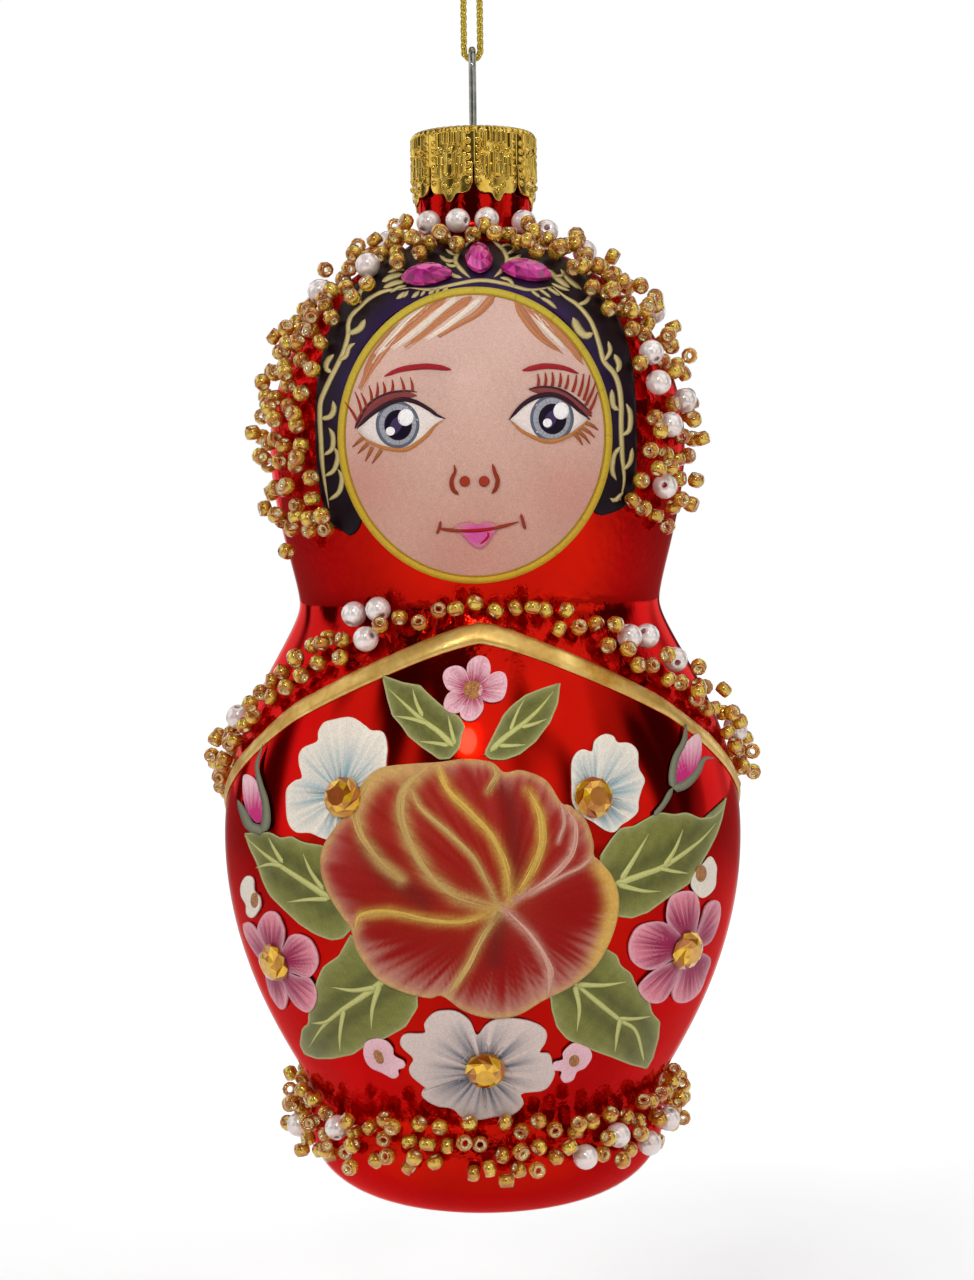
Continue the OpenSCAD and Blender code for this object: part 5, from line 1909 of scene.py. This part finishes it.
def placeOnGlass(shape, turn, height, lift, spin):
    at = overGlass([turn], [height], lift)[0]
    out = overGlass([turn], [height], lift + 1)[0] - at
    right = np.array([math.cos(math.radians(turn)), math.sin(math.radians(turn)), 0])
    down = np.cross(right, out)
    c, s = math.cos(math.radians(spin)), math.sin(math.radians(spin))
    x = shape[:, 0] * c - shape[:, 1] * s
    y = shape[:, 0] * s + shape[:, 1] * c
    return at + x[:, None] * down + y[:, None] * right + shape[:, 2:] * out


def facetedStone(name, rings, turn, height, lift, spin, seed):
    shape = np.concatenate([floats(r) for r in rings])
    sides = len(rings[0])
    triangles = []
    for i in range(len(rings) - 1):
        for j in range(sides):
            k = (j + 1) % sides
            a, b = i * sides, (i + 1) * sides
            triangles += [(a + j, a + k, b + j), (a + k, b + k, b + j)]
    last = (len(rings) - 1) * sides
    corners = []
    faces = []
    paintedFacetLight = []
    dice = np.random.default_rng(seed)
    loops = [list(t) for t in triangles]
    loops.append([last + j for j in range(sides)])
    loops.append([sides - 1 - j for j in range(sides)])
    for loop in loops:                        # facets keep their own corners, so each has one tone
        faces.append(tuple(range(len(corners), len(corners) + len(loop))))
        corners += [shape[v] for v in loop]
        # one painted brightness per facet, standing in for the light and reflections it catches
        paintedFacetLight += [dice.beta(0.9, 0.9)] * len(loop)
    points = placeOnGlass(np.array(corners), turn, height, lift, spin)
    piece = addPiece(name, toFrame(points), faces, np.repeat(np.array(paintedFacetLight)[:, None], 3, axis=1), False)
    faceOut(piece)
    return piece


def makeStones():
    s = stonePrint
    amber = stoneMaterial("amberStone", shade(168, 80, 0), shade(255, 200, 36), 0.45)
    magenta = stoneMaterial("magentaStone", shade(140, 2, 92), shade(236, 60, 168), 0.35)
    n = s["amberSides"]
    a = np.arange(n) * 2 * math.pi / n
    half, high = s["amberAcross"] / 2, s["amberHigh"]
    for number, (node, (turn, height)) in enumerate(amberPlaces.items()):
        rings = []
        for k, (r, z) in enumerate(s["amberSteps"]):
            b = a + (k % 2) * math.pi / n
            rings.append(np.stack([r * half * np.cos(b), r * half * np.sin(b), np.full(n, z * high)], axis=1))
        stone = facetedStone("stone_" + node, rings, turn, height, s["amberLift"], 20 * number, 400 + number)
        finishPiece(stone, "doll", "amber_stone", amber, node)
    m = s["navetteSides"]
    b = np.arange(m) * 2 * math.pi / m
    for number, (node, (turn, height, spin)) in enumerate(navettePlaces.items()):
        rings = []
        for r, z in s["navetteSteps"]:
            x = np.sign(np.cos(b)) * np.abs(np.cos(b)) ** s["navettePoint"] * s["navetteWide"] / 2
            y = np.sin(b) * s["navetteLong"] / 2
            rings.append(np.stack([r * x, r * y, np.full(m, z * s["navetteHigh"])], axis=1))
        stone = facetedStone("stone_" + node, rings, turn, height, s["navetteLift"], spin, 420 + number)
        finishPiece(stone, "doll", "magenta_stone", magenta, node)


makeStones()
print("stones set")


# beads: places and directions come from the model's own beads, the shapes from a node tree
beadSizes = {
    "across": 2.0,
    "long": 1.5,
    "hole": 0.8,
    "pearlAcross": 3.0,
    "pearlHole": 0.7,
    "manyCorners": 40,                        # with more than this, their mean is the bead's middle
    "liningReach": 0.5,
    "sides": 10,
    "pearlSides": 18,
    "pearlTurn": 76,
}


def beadPlaces(node):
    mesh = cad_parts[node].data
    work = bmesh.new()
    work.from_mesh(mesh)
    bmesh.ops.remove_doubles(work, verts=work.verts, dist=1e-6)
    work.verts.ensure_lookup_table()
    seen = set()
    places = []
    for start in work.verts:
        if start.index in seen:
            continue
        heap = [start]
        seen.add(start.index)
        group = []
        while heap:
            vert = heap.pop()
            group.append(vert.co[:])
            for edge in vert.link_edges:
                other = edge.other_vert(vert)
                if other.index not in seen:
                    seen.add(other.index)
                    heap.append(other)
        group = np.array(group)
        middle = (group.max(axis=0) + group.min(axis=0)) / 2
        if len(group) > beadSizes["manyCorners"]:
            middle = group.mean(axis=0)
        values, axes = np.linalg.eigh(np.cov((group - group.mean(axis=0)).T))
        odd = 0 if values[1] - values[0] > values[2] - values[1] else 2
        places.append((middle, axes[:, odd]))
    work.free()
    return places


def ringShape(name, section, sides):
    a = np.arange(sides) * 2 * math.pi / sides
    section = floats(section) * millimetre
    points = np.stack([
        section[:, :1] * np.cos(a)[None, :], section[:, :1] * np.sin(a)[None, :],
        np.broadcast_to(section[:, 1:], (len(section), sides))
    ], axis=-1).reshape(-1, 3)
    faces = gridFaces(len(section), sides, True, 0, True)
    mesh = bpy.data.meshes.new(name)
    mesh.from_pydata(points.tolist(), [], faces)
    inside = np.hypot(points[:, 0], points[:, 1]) < beadSizes["liningReach"] * millimetre
    layer = mesh.attributes.new("lining", "FLOAT", "POINT")
    layer.data.foreach_set("value", inside.astype(float))
    # a weight that grows towards both ends of the shape; the bead finish darkens by it as painted shade
    ends = mesh.attributes.new("ends", "FLOAT", "POINT")
    ends.data.foreach_set("value", (points[:, 2] / points[:, 2].max()) ** 2)
    mesh.polygons.foreach_set("use_smooth", [True] * len(faces))
    shape = bpy.data.objects.new(name, mesh)
    faceOut(shape)
    return shape


def scatterTree(shape, material):
    tree = bpy.data.node_groups.new("strung beads", "GeometryNodeTree")
    tree.interface.new_socket("Geometry", in_out="INPUT", socket_type="NodeSocketGeometry")
    sizeSocket = tree.interface.new_socket("Bead size", in_out="INPUT", socket_type="NodeSocketFloat")
    spreadSocket = tree.interface.new_socket("Tone spread", in_out="INPUT", socket_type="NodeSocketFloat")
    tree.interface.new_socket("Geometry", in_out="OUTPUT", socket_type="NodeSocketGeometry")
    start = tree.nodes.new("NodeGroupInput")
    end = tree.nodes.new("NodeGroupOutput")
    points = tree.nodes.new("GeometryNodeMeshToPoints")
    put = tree.nodes.new("GeometryNodeInstanceOnPoints")
    info = tree.nodes.new("GeometryNodeObjectInfo")
    turn = tree.nodes.new("FunctionNodeAlignEulerToVector")
    turn.axis = "Z"
    heading = addNode(tree, "GeometryNodeInputNamedAttribute", data_type="FLOAT_VECTOR")
    heading.inputs["Name"].default_value = "heading"
    dice = addNode(tree, "FunctionNodeRandomValue", data_type="FLOAT")
    dice.inputs["Seed"].default_value = 8
    store = addNode(tree, "GeometryNodeStoreNamedAttribute", data_type="FLOAT", domain="INSTANCE")
    store.inputs["Name"].default_value = "tone"
    real = tree.nodes.new("GeometryNodeRealizeInstances")
    paint = tree.nodes.new("GeometryNodeSetMaterial")
    info.inputs["Object"].default_value = shape
    paint.inputs["Material"].default_value = material
    link(tree, start, "Geometry", points, "Mesh")
    link(tree, points, "Points", put, "Points")
    link(tree, info, "Geometry", put, "Instance")
    link(tree, heading, "Attribute", turn, "Vector")
    link(tree, turn, "Rotation", put, "Rotation")
    link(tree, start, "Bead size", put, "Scale")
    link(tree, put, "Instances", store, "Geometry")
    spread = maths(tree, "MULTIPLY", dice.outputs[1], start.outputs["Tone spread"])
    feed(tree, store.inputs["Value"], spread)
    link(tree, store, "Geometry", real, "Geometry")
    link(tree, real, "Geometry", paint, "Geometry")
    link(tree, paint, "Geometry", end, "Geometry")
    return tree, sizeSocket.identifier, spreadSocket.identifier


def strewBeads(node, name, slot, tree, sizeKey, spreadKey, material):
    places = beadPlaces(node)
    mesh = bpy.data.meshes.new(name)
    mesh.from_pydata([tuple(p) for p, d in places], [], [])
    layer = mesh.attributes.new("heading", "FLOAT_VECTOR", "POINT")
    layer.data.foreach_set("vector", np.array([d for p, d in places]).ravel())
    piece = putInScene(name, mesh)
    nodes = piece.modifiers.new("strung beads", "NODES")
    nodes.node_group = tree
    nodes[sizeKey] = 1.0
    nodes[spreadKey] = 1.0
    graph = bpy.context.evaluated_depsgraph_get()
    piece.data = bpy.data.meshes.new_from_object(piece.evaluated_get(graph))
    piece.modifiers.clear()
    piece.data.materials.clear()
    finishPiece(piece, "doll", slot, material, node)


def beadMaterial():
    material, tree, shader = newMaterial("amberBead", {
        "Metallic": 0.5, "Transmission Weight": 0.6, "Roughness": 0.06, "Coat Weight": 1.0,
        "Coat Roughness": 0.03,
    })
    tone = readMark(tree, "tone")
    lining = readMark(tree, "lining")
    noise = addNoise(tree, 1600, 2)
    sway = maths(tree, "MULTIPLY_ADD", noise, 0.7, tone)
    ramp = addRamp(tree, sway, shade(220, 146, 12), shade(255, 226, 84), 0.2, 1.2)
    # the bead colour darkens towards both ends: painted shade, standing in for the dark edges of the glass
    ends = readMark(tree, "ends")
    deep = mixTones(tree, ends, ramp, shade(214, 130, 60), "MULTIPLY")
    mixed = mixTones(tree, lining, deep, shade(255, 240, 176))
    feed(tree, shader.inputs["Base Color"], mixed)
    return material


def pearlMaterial():
    material, tree, shader = newMaterial("pearlLustre", {
        "Metallic": 0.35, "Roughness": 0.16, "Coat Weight": 1.0, "Coat Roughness": 0.06,
        "Sheen Weight": 0.15,
    })
    noise = addNoise(tree, 500, 3)
    rampTo(tree, noise, shader, "Base Color", shade(236, 214, 208), shade(252, 242, 238))
    addBump(tree, shader, noise, 0.08, 0.0002)
    return material


def makeBeads():
    b = beadSizes
    r, half, hole = b["across"] / 2, b["long"] / 2, b["hole"] / 2
    bead = ringShape("beadShape", [
        (hole, -half * 0.8), (r * 0.72, -half), (r * 0.97, -half * 0.45), (r, half * 0.2),
        (r * 0.82, half * 0.92), (hole, half * 0.8),
    ], b["sides"])
    p = b["pearlAcross"] / 2
    turn = np.radians(np.linspace(-b["pearlTurn"], b["pearlTurn"], 11))
    section = [(b["pearlHole"] / 2, -p * 0.8)] + [(p * math.cos(t), p * math.sin(t)) for t in turn]
    pearl = ringShape("pearlShape", section + [(b["pearlHole"] / 2, p * 0.8)], b["pearlSides"])
    gold, white = beadMaterial(), pearlMaterial()
    beadTree = scatterTree(bead, gold)
    pearlTree = scatterTree(pearl, white)
    for band in ("hood", "shoulder", "base"):
        strewBeads(band + "_beads", band + "SeedBeads", "amber_bead", *beadTree, gold)
        strewBeads(band + "_pearls", band + "Pearls", "pearl", *pearlTree, white)
    for shape in (bead, pearl):
        bpy.data.objects.remove(shape)


makeBeads()
print("beads glued")


# studio: pale floor under the hanging doll, soft lamps, white surround
studio = {
    "floorDrop": 40,
    "floorSize": 4000,
    "aimHeight": 65,
    "lamps": [
        ("keyLamp", (-240, -360, 300), 260, 0.95, False),
        ("fillLamp", (330, -260, 160), 300, 0.5, False),
        ("topLamp", (0, 60, 420), 300, 0.4, False),
        ("backLamp", (60, 360, 200), 300, 0.4, False),
        ("glintLamp", (-50, -400, 350), 70, 0.22, True),
    ],
    "world": 0.45,
    "nearGlow": 0.2,
    "farGlow": 0.74,
}


def makeFloor():
    size = studio["floorSize"] / 2
    corners = [(-size, -size), (size, -size), (size, size), (-size, size)]
    floor = addPiece("paleFloor", toFrame([(x, y, -studio["floorDrop"]) for x, y in corners]), [(0, 1, 2, 3)])
    material, tree, shader = newMaterial("paleFloor", {"Roughness": 0.9})
    rampTo(tree, addNoise(tree, 30, 3), shader, "Base Color", grey(0.86), grey(0.9))
    link(tree, addNode(tree, "ShaderNodeLightPath"), "Is Camera Ray", shader, "Emission Strength")
    level = addNode(tree, "ShaderNodeVectorMath", operation="MULTIPLY")
    link(tree, addNode(tree, "ShaderNodeTexCoord"), "Object", level, 0)
    level.inputs[1].default_value = (1, 1, 0)
    far = addNode(tree, "ShaderNodeVectorMath", operation="LENGTH")
    link(tree, level, "Vector", far, 0)
    glow = addRamp(tree, far.outputs["Value"], grey(studio["nearGlow"]), grey(studio["farGlow"]), 0.1, 0.55)
    feed(tree, shader.inputs["Emission Color"], glow)
    floor.data.materials.append(material)


def makeLamps():
    aim = Vector(toFrame((0, 0, studio["aimHeight"])))
    for name, place, across, power, mirrored in studio["lamps"]:
        lamp = bpy.data.lights.new(name, "AREA")
        lamp.shape = "DISK"
        lamp.size = across * millimetre
        lamp.energy = power
        item = putInScene(name, lamp)
        item.location = Vector(toFrame(place))
        item.rotation_euler = (aim - item.location).to_track_quat("-Z", "Y").to_euler()
        item.visible_glossy = mirrored


# The camera sees white, mirrors see upright panels, and the rest is lit a little more from behind
def makeSurround():
    world = bpy.data.worlds.new("whiteSurround")
    bpy.context.scene.world = world
    world.use_nodes = True
    tree = world.node_tree
    back = tree.nodes["Background"]
    ray = addNode(tree, "ShaderNodeLightPath").outputs
    where = addNode(tree, "ShaderNodeTexCoord")
    parts = addNode(tree, "ShaderNodeSeparateXYZ")
    link(tree, where, "Generated", parts, "Vector")
    turn = maths(tree, "MULTIPLY_ADD", parts.outputs["Y"], 0.5, 0.5)
    front = addRamp(tree, turn, grey(0.34), grey(1.0), 0.0, 0.62)
    squeeze = addNode(tree, "ShaderNodeMapping")
    squeeze.inputs["Scale"].default_value = (1.0, 1.0, 0.16)
    link(tree, where, "Generated", squeeze, "Vector")
    panels = addNode(tree, "ShaderNodeTexNoise", Scale=2.6, Detail=1.0)
    link(tree, squeeze, "Vector", panels, "Vector")
    gaps = addRamp(tree, panels.outputs["Fac"], grey(0.05), grey(1.05), 0.44, 0.57)
    mirrored = mixTones(tree, ray["Is Glossy Ray"], front, gaps)
    feed(tree, back.inputs["Color"], mixTones(tree, ray["Is Camera Ray"], mirrored, grey(1.0)))
    seen = maths(tree, "MAXIMUM", ray["Is Camera Ray"], ray["Is Glossy Ray"])
    through = maths(tree, "MAXIMUM", seen, ray["Is Transmission Ray"])
    level = maths(tree, "MULTIPLY_ADD", through, 1 - studio["world"], studio["world"])
    feed(tree, back.inputs["Strength"], level)


makeFloor()
makeLamps()
makeSurround()
bpy.context.scene.view_settings.view_transform = "Standard"
print("studio lit")
